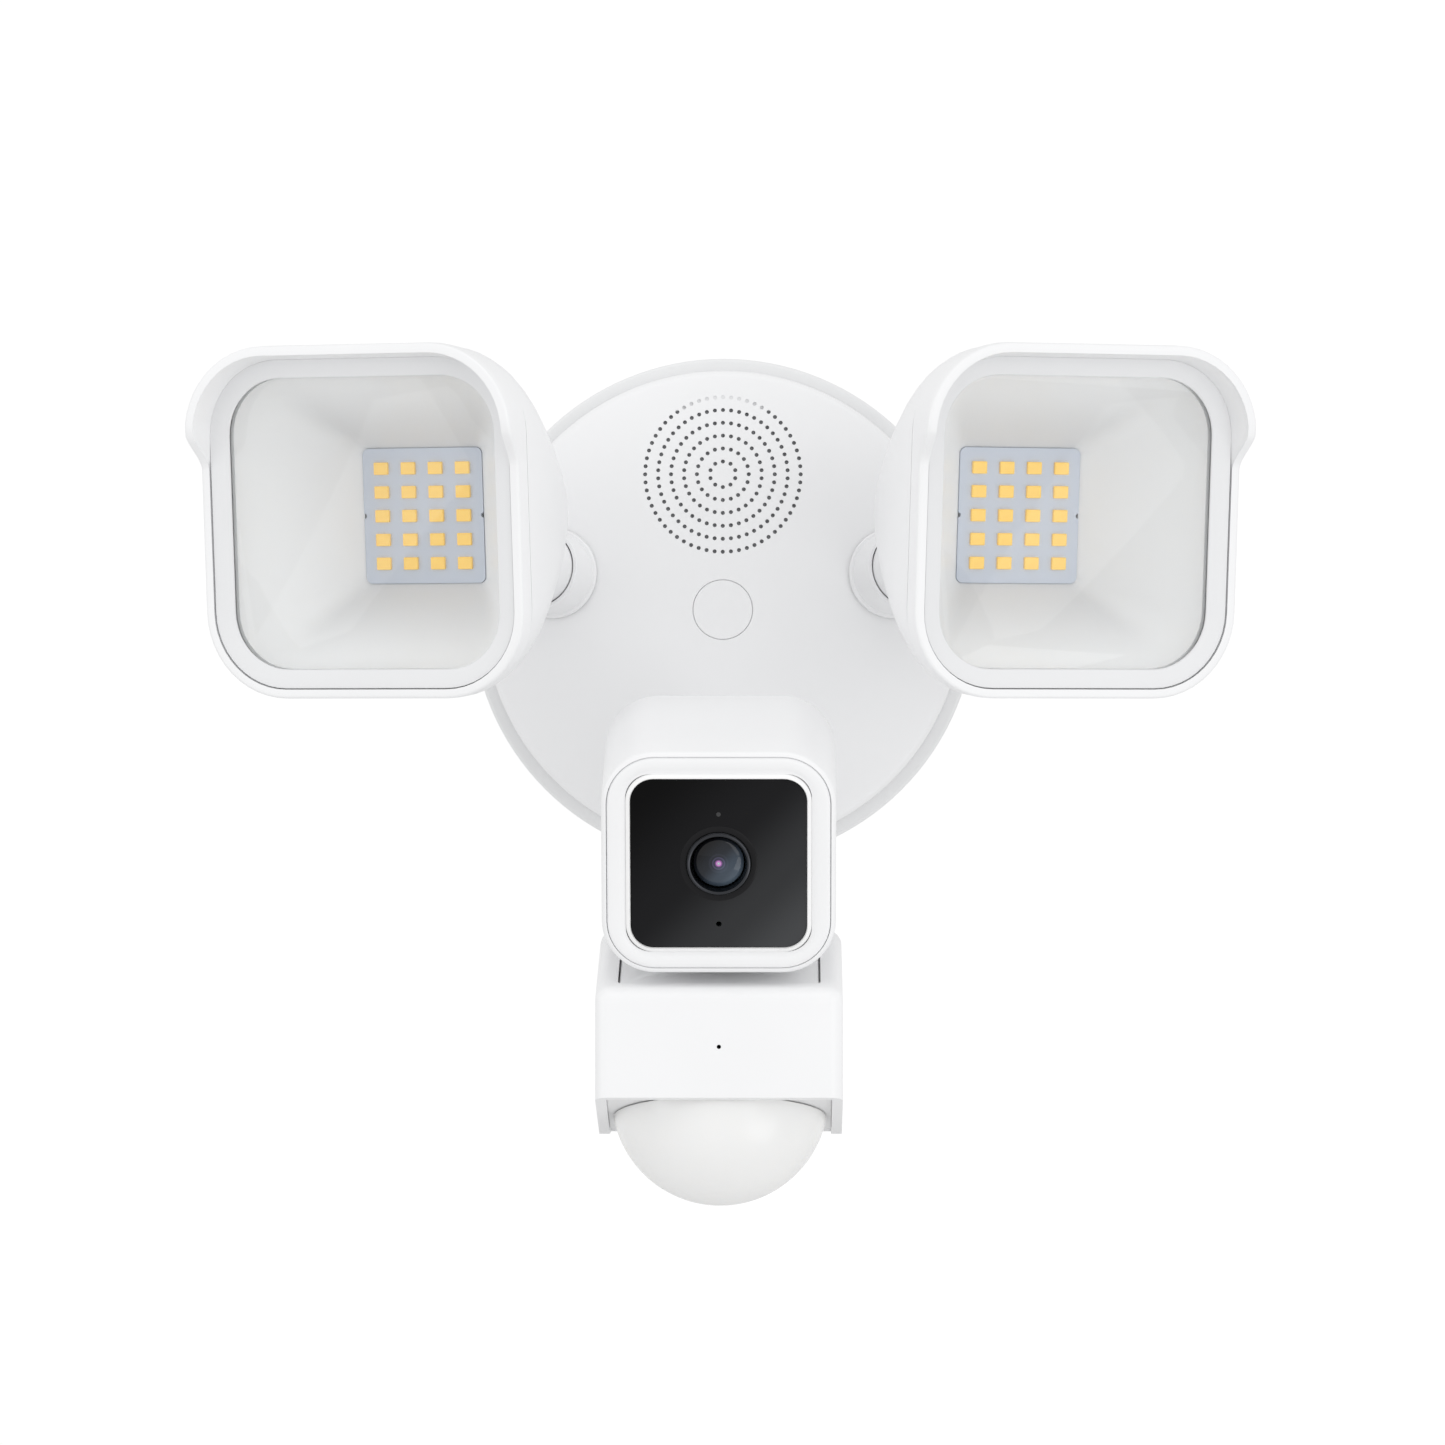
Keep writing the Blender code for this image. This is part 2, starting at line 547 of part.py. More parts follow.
def make_power_board(base):
    """Lamp driver board in the base's lower half, with its transformer and capacitor."""
    low = PLATE_THICKNESS + BOARD_LIFT
    place = base @ shift(y=-POWER_BOARD_DOWN)
    board = box("power_board", (POWER_BOARD_WIDTH, POWER_BOARD_HEIGHT), low,
                low + BOARD_THICKNESS, "green_board", place)
    sunk = low + BOARD_THICKNESS / 2.0
    join(board, box("board_transformer", TRANSFORMER_SIZE, sunk, low + TRANSFORMER_HEIGHT,
                    "metal", place @ shift(*TRANSFORMER_PLACE)))
    join(board, rod("board_capacitor", CAPACITOR_RADIUS, sunk, low + CAPACITOR_HEIGHT, "metal",
                    place @ shift(*CAPACITOR_PLACE)))


def make_terminal_block(base):
    """Block in which the house wires end, with a way for each."""
    low = PLATE_THICKNESS + GAP
    place = base @ shift(x=-TERMINAL_SIDE, y=TERMINAL_UP)
    block = box("terminal_block", (TERMINAL_WIDTH, TERMINAL_HEIGHT), low, low + TERMINAL_DEPTH,
                "white", place)
    for way in range(TERMINAL_WAYS):
        across = (way - (TERMINAL_WAYS - 1) / 2.0) * TERMINAL_WIDTH / TERMINAL_WAYS
        cut(block, rod(f"terminal_way_{way}", WAY_RADIUS, low + WAY_FLOOR,
                       low + TERMINAL_DEPTH + CUT_PAST, "white", place @ shift(x=across)))


# --- lamps -----------------------------------------------------------------------------------
def make_collar(word, frame, flange_frame):
    """Short tube in the cover that the ball turns in, with a flange on the cover's face."""
    bore = COLLAR_RADIUS - COLLAR_WALL
    spigot_bore = bore - SPIGOT_STEP
    ball_height = COLLAR_LENGTH + BALL_AHEAD
    seat_low = ball_height - BALL_RADIUS - GAP - SEAT_FLOOR
    lip = seat_low - GAP
    tube = turned(f"lamp_{word}_collar", [
        (COLLAR_RADIUS, lip - COLLAR_LIP), (COLLAR_RADIUS, COLLAR_LENGTH), (bore, COLLAR_LENGTH),
        (bore, ball_height - SEAT_RIM + GAP), (spigot_bore, ball_height - SEAT_RIM + GAP),
        (spigot_bore, lip), (WIRE_BORE, lip), (WIRE_BORE, lip - COLLAR_LIP)],
        "white", frame, steps=COLLAR_STEPS)
    in_wall = (COLLAR_RADIUS + spigot_bore) / 2.0
    ring = turned(f"collar_flange_{word}", [
        (in_wall, GAP), (FLANGE_RADIUS, GAP), (FLANGE_RADIUS, FLANGE_THICKNESS),
        (in_wall, FLANGE_THICKNESS)], "white", flange_frame, steps=COLLAR_STEPS)
    join(tube, ring)


def make_seat(word, frame, pivot):
    """Nylon cup behind the ball, which turns in the collar."""
    ball_height = COLLAR_LENGTH + BALL_AHEAD
    hollow = BALL_RADIUS + GAP
    outer = COLLAR_RADIUS - COLLAR_WALL - SPIGOT_STEP - TURN_GAP
    rim_angle = math.degrees(math.asin(SEAT_RIM / hollow))
    hole_angle = math.degrees(math.acos(SEAT_HOLE / hollow))
    low = ball_height - hollow - SEAT_FLOOR
    profile = [(SEAT_HOLE, low), (outer, low), (outer, ball_height - SEAT_RIM)]
    profile += arc(hollow, -rim_angle, -hole_angle, SEAT_STEPS, centre=(0.0, ball_height))
    turned(f"lamp_{word}_swivel_seat", profile, "nylon", frame, pivot)


def make_stem(word, head, ball, pivot):
    """Ball and neck, with a spindle through the head's pocket floor."""
    place = head @ shift(*ball)
    neck_angle = math.degrees(math.acos(NECK_RADIUS / BALL_RADIUS))
    neck_end = BALL_BEHIND - POCKET_FLOOR - GAP
    spindle_end = BALL_BEHIND - POCKET_FLOOR + POCKET_FLOOR_THICKNESS + NUT_HEIGHT
    profile = arc(BALL_RADIUS, -90.0, neck_angle, BALL_STEPS)
    profile[0] = (0.0, -BALL_RADIUS)
    profile += [(NECK_RADIUS, neck_end), (SPINDLE_RADIUS, neck_end),
                (SPINDLE_RADIUS, spindle_end), (0.0, spindle_end)]
    turned(f"lamp_{word}_ball_stem", profile, "white", place, pivot, COLLAR_STEPS, round_trip=False)


def make_nut(word, head, ball, pivot):
    """Hexagon nut that holds the head on the spindle."""
    low = -POCKET_FLOOR + POCKET_FLOOR_THICKNESS + GAP
    high = low + NUT_HEIGHT
    place = head @ shift(ball[0], ball[1])
    nut = rod(f"lamp_{word}_stem_nut", NUT_RADIUS, low, high, "metal", place, pivot, steps=6)
    cut(nut, rod(f"nut_bore_{word}", SPINDLE_RADIUS + GAP, low - CUT_PAST, high + CUT_PAST,
                 "metal", place))


def head_ring(depth, shrink=0.0):
    """The head's outline at a depth behind the glass, rounding off towards the back."""
    share = depth / HEAD_DEPTH
    size = HEAD_SIZE * math.sqrt(1.0 - share ** 2) - 2.0 * shrink
    turn = min(share / HEAD_ROUND_BY, 1.0)
    blend = turn * turn * (3.0 - 2.0 * turn)
    corner = (HEAD_CORNER / HEAD_SIZE + (0.5 - HEAD_CORNER / HEAD_SIZE) * blend) * size
    return outline(size, size, corner, -depth)


def make_housing(word, head, ball, pivot):
    """Domed back shell of the head, with a round pocket that the neck turns in."""
    start = RIM_BACK + GAP
    outside = [head_ring(start)] + [head_ring(HEAD_DEPTH * share) for share in HEAD_SHARES]
    inside = [head_ring(start, HEAD_WALL)]
    inside += [head_ring(HEAD_DEPTH * share, HEAD_WALL) for share in HEAD_SHARES[:-1]]
    shell = loft(f"lamp_{word}_housing", list(reversed(outside)) + inside, "white", head, pivot)
    place = head @ shift(ball[0], ball[1])
    pocket = NECK_RADIUS + TURN_GAP
    boss = rod(f"pocket_boss_{word}", pocket + HEAD_WALL, -HEAD_DEPTH,
               -POCKET_FLOOR + POCKET_FLOOR_THICKNESS, "white", place, pivot)
    bound = loft(f"pocket_bound_{word}", [head_ring(HEAD_DEPTH * share, HEAD_WALL / 2.0)
                 for share in reversed(HEAD_SHARES)], "white", head, pivot)
    change(boss, bound, "INTERSECT")
    join(shell, boss)
    cut(shell, rod(f"pocket_{word}", pocket, -HEAD_DEPTH - CUT_PAST, -POCKET_FLOOR, "white",
                   place, pivot, steps=COLLAR_STEPS))
    cut(shell, rod(f"spindle_hole_{word}", SPINDLE_RADIUS + GAP, -POCKET_FLOOR - CUT_PAST,
                   -POCKET_FLOOR + POCKET_FLOOR_THICKNESS + CUT_PAST, "white", place, pivot))


def make_hood(word, head, pivot):
    """Rim and hood in one moulding: the hood stands out over the top and upper sides."""
    side_points = [HOOD_LOW + (HOOD_HIGH - HOOD_LOW) * step / HOOD_STEPS
                   for step in range(HOOD_STEPS)]
    inner = HEAD_SIZE - 2.0 * RIM_WIDTH
    inner_corner = HEAD_CORNER - RIM_WIDTH

    def front(points):
        lifted = []
        for x, y, _ in points:
            share = min(max((y - HOOD_LOW) / (HOOD_HIGH - HOOD_LOW), 0.0), 1.0)
            blend = share * share * (3.0 - 2.0 * share)
            spread = 1.0 + HOOD_FLARE * blend
            lifted.append((x * spread, y * spread, RIM_AHEAD + HOOD_REACH * blend))
        return lifted

    outer_back = outline(HEAD_SIZE, HEAD_SIZE, HEAD_CORNER, -RIM_BACK, side_points)
    inner_back = outline(inner, inner, inner_corner, -RIM_BACK, side_points)
    loft(f"lamp_{word}_hood", [outer_back, front(outer_back), front(inner_back), inner_back],
         "white", head, pivot, round_trip=True)


def make_head_inside(word, head, pivot):
    """Grey frame, glass, seal, reflector, lamp board and heat sink, front to back."""
    frame_size = HEAD_SIZE - 2.0 * RIM_WIDTH - 2.0 * GAP
    frame_corner = HEAD_CORNER - RIM_WIDTH - GAP
    loft(f"lamp_{word}_inner_frame", [
        outline(OPENING_SIZE, OPENING_SIZE, OPENING_CORNER, -FRAME_BACK),
        outline(OPENING_SIZE, OPENING_SIZE, OPENING_CORNER, FRAME_LIP),
        outline(frame_size, frame_size, frame_corner, RIM_AHEAD - GAP),
        outline(frame_size, frame_size, frame_corner, -FRAME_BACK)],
        "grey", head, pivot, round_trip=True)
    glass_front = -FRAME_BACK - GAP
    glass_back = glass_front - GLASS_THICKNESS
    glass_corner = OPENING_CORNER + (GLASS_SIZE - OPENING_SIZE) / 2.0
    box(f"lamp_{word}_glass", (GLASS_SIZE, GLASS_SIZE), glass_back, glass_front, "glass", head,
        pivot, corner=glass_corner)
    seal_front = glass_back - GAP
    seal_back = seal_front - SEAL_THICKNESS
    inner = (OPENING_SIZE + GAP, OPENING_SIZE + GAP, OPENING_CORNER)
    outer = (GLASS_SIZE, GLASS_SIZE, glass_corner)
    loft(f"lamp_{word}_glass_seal", [
        outline(*outer, seal_back), outline(*outer, seal_front), outline(*inner, seal_front),
        outline(*inner, seal_back)], "grey", head, pivot, round_trip=True)
    make_reflector(word, head, pivot, seal_back - GAP, outer)
    make_led_board(word, head, pivot)
    make_heat_sink(word, head, pivot)


def make_reflector(word, head, pivot, front, flange):
    """White square reflector, narrowing to the lamp board, with a flange behind the seal."""
    back = -LED_BOARD_DEPTH - LED_BOARD_THICKNESS / 2.0
    wide = (LED_BOARD_WIDTH + 2.0 * GAP, LED_BOARD_HEIGHT + 2.0 * GAP, LED_BOARD_CORNER)
    grown = [value + 2.0 * REFLECTOR_WALL for value in wide]
    mouth_grown = OPENING_SIZE + 2.0 * REFLECTOR_WALL
    loft(f"lamp_{word}_reflector", [
        outline(OPENING_SIZE, OPENING_SIZE, OPENING_CORNER, front), outline(*wide, back),
        outline(*grown, back),
        outline(mouth_grown, mouth_grown, OPENING_CORNER + REFLECTOR_WALL,
                front - REFLECTOR_WALL),
        outline(*flange, front - REFLECTOR_WALL), outline(*flange, front)],
        "reflector", head, pivot, round_trip=True)


def make_led_board(word, head, pivot):
    """Aluminium-cored lamp board with its grid of chips, soldered on."""
    face = -LED_BOARD_DEPTH
    board = box(f"lamp_{word}_led_board", (LED_BOARD_WIDTH, LED_BOARD_HEIGHT),
                face - LED_BOARD_THICKNESS, face, "board", head, pivot,
                corner=LED_BOARD_CORNER)
    for column in range(LED_COLUMNS):
        across = (column - (LED_COLUMNS - 1) / 2.0) * LED_PITCH_ACROSS
        for row in range(LED_ROWS):
            up = (row - (LED_ROWS - 1) / 2.0) * LED_PITCH_UP
            join(board, box(f"chip_{word}_{column}_{row}", (LED_WIDTH, LED_HEIGHT),
                            face - LED_BOARD_THICKNESS / 2.0, face + LED_STAND, "board",
                            head @ shift(across, up), pivot))


def make_heat_sink(word, head, pivot):
    """Cast sink behind the lamp board: a plate with upright fins."""
    front = -LED_BOARD_DEPTH - LED_BOARD_THICKNESS - GAP
    back = front - SINK_PLATE
    sink = box(f"lamp_{word}_heat_sink", (SINK_SIZE, SINK_SIZE), back, front, "metal", head,
               pivot, corner=SINK_CORNER)
    for fin in range(FIN_COUNT):
        across = (fin - (FIN_COUNT - 1) / 2.0) * FIN_WIDTH / (FIN_COUNT - 1)
        join(sink, box(f"fin_{word}_{fin}", (FIN_THICKNESS, FIN_WIDTH), back - FIN_HEIGHT,
                       back + SINK_PLATE / 2.0, "metal", head @ shift(x=across), pivot))


def make_lamp(word, side):
    """One lamp with its swivel; side is -1 on the left and 1 on the right."""
    foot_height = dome_height(math.hypot(COLLAR_SIDE, COLLAR_UP))
    collar = collar_frame(side)
    lean = math.degrees(math.asin(COLLAR_SIDE / DOME_RADIUS))
    rise = math.degrees(math.asin(COLLAR_UP / DOME_RADIUS))
    flange = facing(foot_height, side * COLLAR_SIDE, COLLAR_UP, side * lean, -rise)
    make_collar(word, collar, flange)

    ball_centre = collar @ Vector((0.0, 0.0, COLLAR_LENGTH + BALL_AHEAD))
    ball = (-side * BALL_SIDE, -BALL_DROP, -BALL_BEHIND)
    turn = facing(0.0, 0.0, 0.0, side * HEAD_YAW, HEAD_PITCH)
    head = Matrix.Translation(ball_centre - turn @ Vector(ball)) @ turn

    swivel = add_pivot(f"lamp_{word}_swivel", ball_centre)
    tilt = add_pivot(f"lamp_{word}_tilt", ball_centre)
    turning = add_pivot(f"lamp_{word}_turn", ball_centre)
    make_seat(word, collar, swivel)
    make_stem(word, head, ball, tilt)
    make_nut(word, head, ball, turning)
    make_housing(word, head, ball, turning)
    make_hood(word, head, turning)
    make_head_inside(word, head, turning)


def collar_frame(side):
    """The collar's frame, with its origin where its axis meets the cover's face."""
    foot_height = dome_height(math.hypot(COLLAR_SIDE, COLLAR_UP))
    return facing(foot_height, side * COLLAR_SIDE, COLLAR_UP, side * COLLAR_YAW, -COLLAR_RISE)


# --- arm -------------------------------------------------------------------------------------
def make_bracket(base):
    """Bracket on the cover with two shelves that hold the arm's upright pin."""
    place = base @ shift(y=-ARM_DOWN)
    shelf_out = PAN_PIN_OUT + HUB_RADIUS
    shelf_low = HUB_HEIGHT / 2.0 + TURN_GAP
    tall = 2.0 * (shelf_low + SHELF_THICKNESS)
    root = dome_height(ARM_DOWN + tall / 2.0) - COVER_WALL
    bracket = box("arm_bracket", (BRACKET_WIDTH, tall), root, shelf_out, "white", place,
                  corner=BRACKET_CORNER)
    cut(bracket, box("bracket_throat", (BRACKET_WIDTH * 2.0, 2.0 * shelf_low),
                     PAN_PIN_OUT - HUB_RADIUS - HUB_ROOM, shelf_out + CUT_PAST, "white", place))
    sphere = DOME_RADIUS + GAP
    start = math.degrees(math.acos(PLATE_RADIUS / sphere))
    ball = arc(sphere, start, 90.0, BRACKET_SEAT_STEPS, centre=(0.0, COVER_TOP - DOME_RADIUS))
    cut(bracket, turned("bracket_seat", [(0.0, 0.0)] + ball[:-1] + [(0.0, COVER_TOP + GAP)],
                        "white", base, steps=ROUND_STEPS, round_trip=False))
    upright = upright_frame()
    reach = shelf_low + SHELF_THICKNESS + GAP
    cut(bracket, rod("bracket_bore", ARM_PIN_RADIUS + GAP, -reach, reach, "white", upright))
    rod_top = shelf_low + SHELF_THICKNESS
    turned("arm_pan_pin", [
        (0.0, -rod_top), (ARM_PIN_RADIUS, -rod_top), (ARM_PIN_RADIUS, rod_top + GAP),
        (ARM_PIN_RADIUS + PIN_HEAD_EDGE, rod_top + GAP),
        (ARM_PIN_RADIUS + PIN_HEAD_EDGE, rod_top + PIN_HEAD),
        (0.0, rod_top + PIN_HEAD)], "metal", upright, round_trip=False)


def upright_frame():
    """The arm's upright pin: local Z up."""
    return Matrix.Translation((0.0, -PAN_PIN_OUT, -ARM_DOWN))


def level_frame():
    """The arm's level pin: local Z to the right."""
    place = Matrix.Translation((0.0, -TILT_PIN_OUT, -ARM_DOWN))
    return place @ Matrix.Rotation(math.radians(90.0), 4, "Y")


def make_yoke():
    """Hub on the upright pin with two cheeks that hold the level pin."""
    pivot = add_pivot("arm_pan", (0.0, -PAN_PIN_OUT, -ARM_DOWN))
    upright, level = upright_frame(), level_frame()
    half_hub = HUB_HEIGHT / 2.0
    yoke = rod("arm_yoke", HUB_RADIUS, -half_hub, half_hub, "white", upright, pivot)
    cheek_inner = LUG_WIDTH / 2.0 + TURN_GAP
    cheek_outer = cheek_inner + CHEEK_THICKNESS
    neck_high = TILT_PIN_OUT - LUG_RADIUS - TURN_GAP
    place = facing(0.0, up=-ARM_DOWN)
    join(yoke, box("yoke_neck", (2.0 * cheek_outer, HUB_HEIGHT), neck_high - YOKE_NECK,
                   neck_high, "white", place, pivot, corner=SMALL_CORNER))
    for side, word in ((-1, "left"), (1, "right")):
        middle = side * (cheek_inner + cheek_outer) / 2.0
        join(yoke, box(f"yoke_cheek_{word}", (CHEEK_THICKNESS, HUB_HEIGHT),
                       neck_high - YOKE_NECK / 2.0, TILT_PIN_OUT, "white",
                       place @ shift(x=middle), pivot))
        join(yoke, rod(f"yoke_eye_{word}", half_hub, middle - CHEEK_THICKNESS / 2.0,
                       middle + CHEEK_THICKNESS / 2.0, "white", level, pivot, steps=EYE_STEPS))
    reach = cheek_outer + GAP
    cut(yoke, rod("yoke_level_bore", ARM_PIN_RADIUS + GAP, -reach, reach, "white", level, pivot))
    cut(yoke, rod("yoke_upright_bore", ARM_PIN_RADIUS + GAP, -half_hub - GAP, half_hub + GAP,
                  "white", upright, pivot))
    turned("arm_tilt_pin", [
        (0.0, -reach), (ARM_PIN_RADIUS, -reach), (ARM_PIN_RADIUS, reach),
        (ARM_PIN_RADIUS + PIN_HEAD_EDGE, reach),
        (ARM_PIN_RADIUS + PIN_HEAD_EDGE, reach + PIN_HEAD),
        (0.0, reach + PIN_HEAD)], "metal", level, pivot, round_trip=False)


def make_arm(pivot):
    """Arm from the level pin down to the sensor housing's back."""
    level = level_frame()
    half_lug = LUG_WIDTH / 2.0
    last = (*ARM_FOOT, SENSOR_BACK - GAP - TILT_PIN_OUT, ARM_FOOT_DOWN, 90.0)
    rings = []
    for width, thickness, out, down, lean in (*ARM_STATIONS, last):
        tilt = Matrix.Rotation(math.radians(-lean), 4, "X")
        place = Matrix.Translation((0.0, -TILT_PIN_OUT - out, -ARM_DOWN - down)) @ tilt
        rings.append([tuple(place @ Vector(point))
                      for point in outline(width, thickness, ARM_CORNER, 0.0)])
    arm = loft("sensor_arm", rings, "white", Matrix(), pivot)
    join(arm, rod("arm_lug", LUG_RADIUS, -half_lug, half_lug, "white", level, pivot,
                  steps=EYE_STEPS))
    cut(arm, rod("arm_bore", ARM_PIN_RADIUS + GAP, -half_lug - CUT_PAST, half_lug + CUT_PAST,
                 "white", level, pivot))


# --- sensor ----------------------------------------------------------------------------------
def side_profile(inset, low_cut):
    """Corners of the sensor housing's side view, as (distance from the wall, height)."""
    top_rise = math.tan(math.radians(SENSOR_TOP_SLOPE))
    base_fall = math.tan(math.radians(SENSOR_BASE_SLOPE))
    front, back = SENSOR_FRONT - inset, SENSOR_BACK + inset
    top_drop = inset / math.cos(math.radians(SENSOR_TOP_SLOPE))
    front_top = -SENSOR_TOP + top_rise * inset - top_drop
    back_top = -SENSOR_TOP + top_rise * (SENSOR_FRONT - back) - top_drop
    front_base = -SENSOR_BOTTOM - base_fall * inset - low_cut
    lowest_out = SENSOR_FRONT - (SENSOR_LOWEST - SENSOR_BOTTOM) / base_fall
    return [(front, front_top), (front, front_base), (lowest_out, -SENSOR_LOWEST - low_cut),
            (back, -SENSOR_LOWEST - low_cut), (back, back_top)]


def slab(name, profile, width, look, pivot, round_edges=0.0):
    """A side view pushed out to a width, with its upright edges rounded."""
    rings = [[(side * width / 2.0, -out, height) for out, height in profile] for side in (-1, 1)]
    piece = loft(name, rings, look, Matrix(), pivot)
    if round_edges:
        edge = piece.modifiers.new("round_edges", "BEVEL")
        edge.width = round_edges
        edge.segments = 2
        edge.limit_method = "ANGLE"
        edge.angle_limit = math.radians(40.0)
    return piece


def top_frame(out):
    """A frame on the sensor housing's sloping top: local Y towards the wall, Z off the face."""
    rise = math.tan(math.radians(SENSOR_TOP_SLOPE)) * (SENSOR_FRONT - out)
    place = Matrix.Translation((0.0, -out, -SENSOR_TOP + rise))
    return place @ Matrix.Rotation(math.radians(SENSOR_TOP_SLOPE), 4, "X")


def under_frame(drop=0.0):
    """A frame on the open underside, at the dome's centre: local Z down and to the front."""
    fall = math.tan(math.radians(SENSOR_BASE_SLOPE)) * (SENSOR_FRONT - PIR_OUT)
    place = Matrix.Translation((0.0, -PIR_OUT, -SENSOR_BOTTOM - fall))
    turn = Matrix.Rotation(math.radians(180.0 - SENSOR_BASE_SLOPE), 4, "X")
    return place @ turn @ shift(z=drop)


def make_sensor(pivot):
    """Sensor housing, its base plate, the domed lens and the detector board."""
    housing = slab("sensor_housing", side_profile(0.0, 0.0), SENSOR_WIDTH, "white", pivot,
                   SENSOR_EDGE)
    hollow_width = SENSOR_WIDTH - 2.0 * SENSOR_WALL
    cavity = slab("sensor_cavity", side_profile(SENSOR_WALL, CAVITY_DROP), hollow_width, "white",
                  pivot)
    cut(housing, cavity)
    seat_width = FOOT_WIDTH + 2.0 * TURN_GAP
    seat_length = FOOT_LENGTH + 2.0 * TURN_GAP
    place = top_frame(foot_out())
    well = box("seat_wall", (hollow_width + 2.0 * WELL_BITE, seat_length + SENSOR_WALL),
               -FOOT_SINK - SENSOR_WALL, WELL_BITE - SENSOR_WALL, "white", place, pivot)
    join(housing, well)
    cut(housing, box("seat_well", (seat_width, seat_length), -FOOT_SINK, CAVITY_DROP, "white",
                     place, pivot, corner=SMALL_CORNER))
    cut(housing, rod("microphone_hole", MICROPHONE_RADIUS, SENSOR_FRONT - SENSOR_WALL - CUT_PAST,
                     SENSOR_FRONT + CUT_PAST, "white", facing(0.0, up=-MICROPHONE_DOWN), pivot))

    under = under_frame()
    lip = SENSOR_WALL + GAP
    plate_front = (PIR_OUT - SENSOR_FRONT + lip) / math.cos(math.radians(SENSOR_BASE_SLOPE))
    plate_length = BASE_PLATE_BACK - plate_front - 2.0 * TURN_GAP
    plate_place = under @ shift(y=(BASE_PLATE_BACK + plate_front) / 2.0)
    plate_low = -BASE_PLATE_SINK - BASE_PLATE_THICKNESS
    plate = box("sensor_base_plate", (hollow_width - 2.0 * GAP, plate_length), plate_low,
                -BASE_PLATE_SINK, "grey", plate_place, pivot, corner=SMALL_CORNER)
    cut(plate, rod("dome_hole", PIR_RADIUS - BASE_PLATE_LIP, plate_low - CUT_PAST, CUT_PAST,
                   "grey", under, pivot, steps=LENS_STEPS))
    sphere = (PIR_RADIUS ** 2 + PIR_HEIGHT ** 2) / (2.0 * PIR_HEIGHT)
    centre = PIR_HEIGHT - sphere
    inner = sphere - PIR_WALL
    rim = math.degrees(math.asin(-centre / sphere))
    inner_rim = math.degrees(math.asin(-centre / inner))
    middle = (0.0, centre + GAP - BASE_PLATE_SINK)
    outside = arc(sphere, rim, 90.0, DOME_STEPS, middle)
    inside = arc(inner, 90.0, inner_rim, DOME_STEPS - 1, middle)
    outside[-1] = (0.0, sphere + middle[1])
    inside[0] = (0.0, inner + middle[1])
    turned("motion_lens", outside + inside, "milky", under, pivot, steps=LENS_STEPS)
    make_detector(under, pivot)


def make_detector(under, pivot):
    """Detector board above the dome, with the three heat detectors soldered to it."""
    back = -PIR_BOARD_LIFT
    board = box("detector_board", (PIR_BOARD_WIDTH, PIR_BOARD_HEIGHT), back - BOARD_THICKNESS,
                back, "green_board", under, pivot)
    for place, angle in DETECTOR_ANGLES:
        across = DETECTOR_REACH * math.cos(math.radians(angle))
        along = DETECTOR_REACH * math.sin(math.radians(angle))
        join(board, rod(f"detector_{place}", DETECTOR_RADIUS, back - BOARD_THICKNESS / 2.0,
                        back + DETECTOR_HEIGHT, "metal", under @ shift(across, along), pivot))


# --- camera ----------------------------------------------------------------------------------
def foot_out():
    """Distance of the foot's middle from the wall: its back end stands below the hinge."""
    hinge_along = (top_frame(SENSOR_FRONT).inverted() @ hinge_centre()).y
    middle_along = hinge_along + HINGE_KNUCKLE_RADIUS - FOOT_LENGTH / 2.0
    return SENSOR_FRONT - middle_along * math.cos(math.radians(SENSOR_TOP_SLOPE))


def camera_frame():
    """The camera's frame, with its origin in the middle of its face."""
    return facing(CAMERA_OUT, up=-CAMERA_DOWN, pitch=CAMERA_PITCH)


def hinge_centre():
    """Where the camera's hinge pin crosses the centre line."""
    below = -CAMERA_HEIGHT / 2.0 - HINGE_BELOW
    return camera_frame() @ Vector((0.0, below, -CAMERA_DEPTH + HINGE_AHEAD))


def hinge_frame():
    """The hinge pin: local Z to the right."""
    return Matrix.Translation(hinge_centre()) @ Matrix.Rotation(math.radians(90.0), 4, "Y")


def make_foot(pivot):
    """Foot in the sensor housing's seat, with two knuckles that hold the hinge pin."""
    place = top_frame(foot_out())
    low = -FOOT_SINK + GAP
    foot = box("camera_foot", (FOOT_WIDTH, FOOT_LENGTH), low, FOOT_STAND, "grey", place, pivot,
               corner=SMALL_CORNER)
    hinge = hinge_frame()
    inner = HINGE_LUG_WIDTH / 2.0 + TURN_GAP
    height = (place.inverted() @ hinge_centre()).z
    across = (place.inverted() @ hinge_centre()).y
    for side, word in ((-1, "left"), (1, "right")):
        middle = side * (inner + FOOT_KNUCKLE_WIDTH / 2.0)
        join(foot, box(f"foot_post_{word}", (FOOT_KNUCKLE_WIDTH, 2.0 * HINGE_KNUCKLE_RADIUS),
                       low / 2.0, height, "grey", place @ shift(x=middle, y=across), pivot))
        join(foot, rod(f"foot_eye_{word}", HINGE_KNUCKLE_RADIUS, middle - FOOT_KNUCKLE_WIDTH / 2.0,
                       middle + FOOT_KNUCKLE_WIDTH / 2.0, "grey", hinge, pivot))
    reach = inner + FOOT_KNUCKLE_WIDTH + GAP
    cut(foot, rod("foot_bore", HINGE_PIN_RADIUS + GAP, -reach, reach, "grey", hinge, pivot))
    rod("camera_hinge_pin", HINGE_PIN_RADIUS, GAP - reach, reach - GAP, "metal", hinge, pivot)


def camera_ring(depth, shrink):
    """The camera's outline at a depth behind its face; a shrink takes it inside its wall."""
    return outline(CAMERA_WIDTH - 2.0 * shrink, CAMERA_HEIGHT - 2.0 * shrink,
                   CAMERA_CORNER - shrink, -depth)


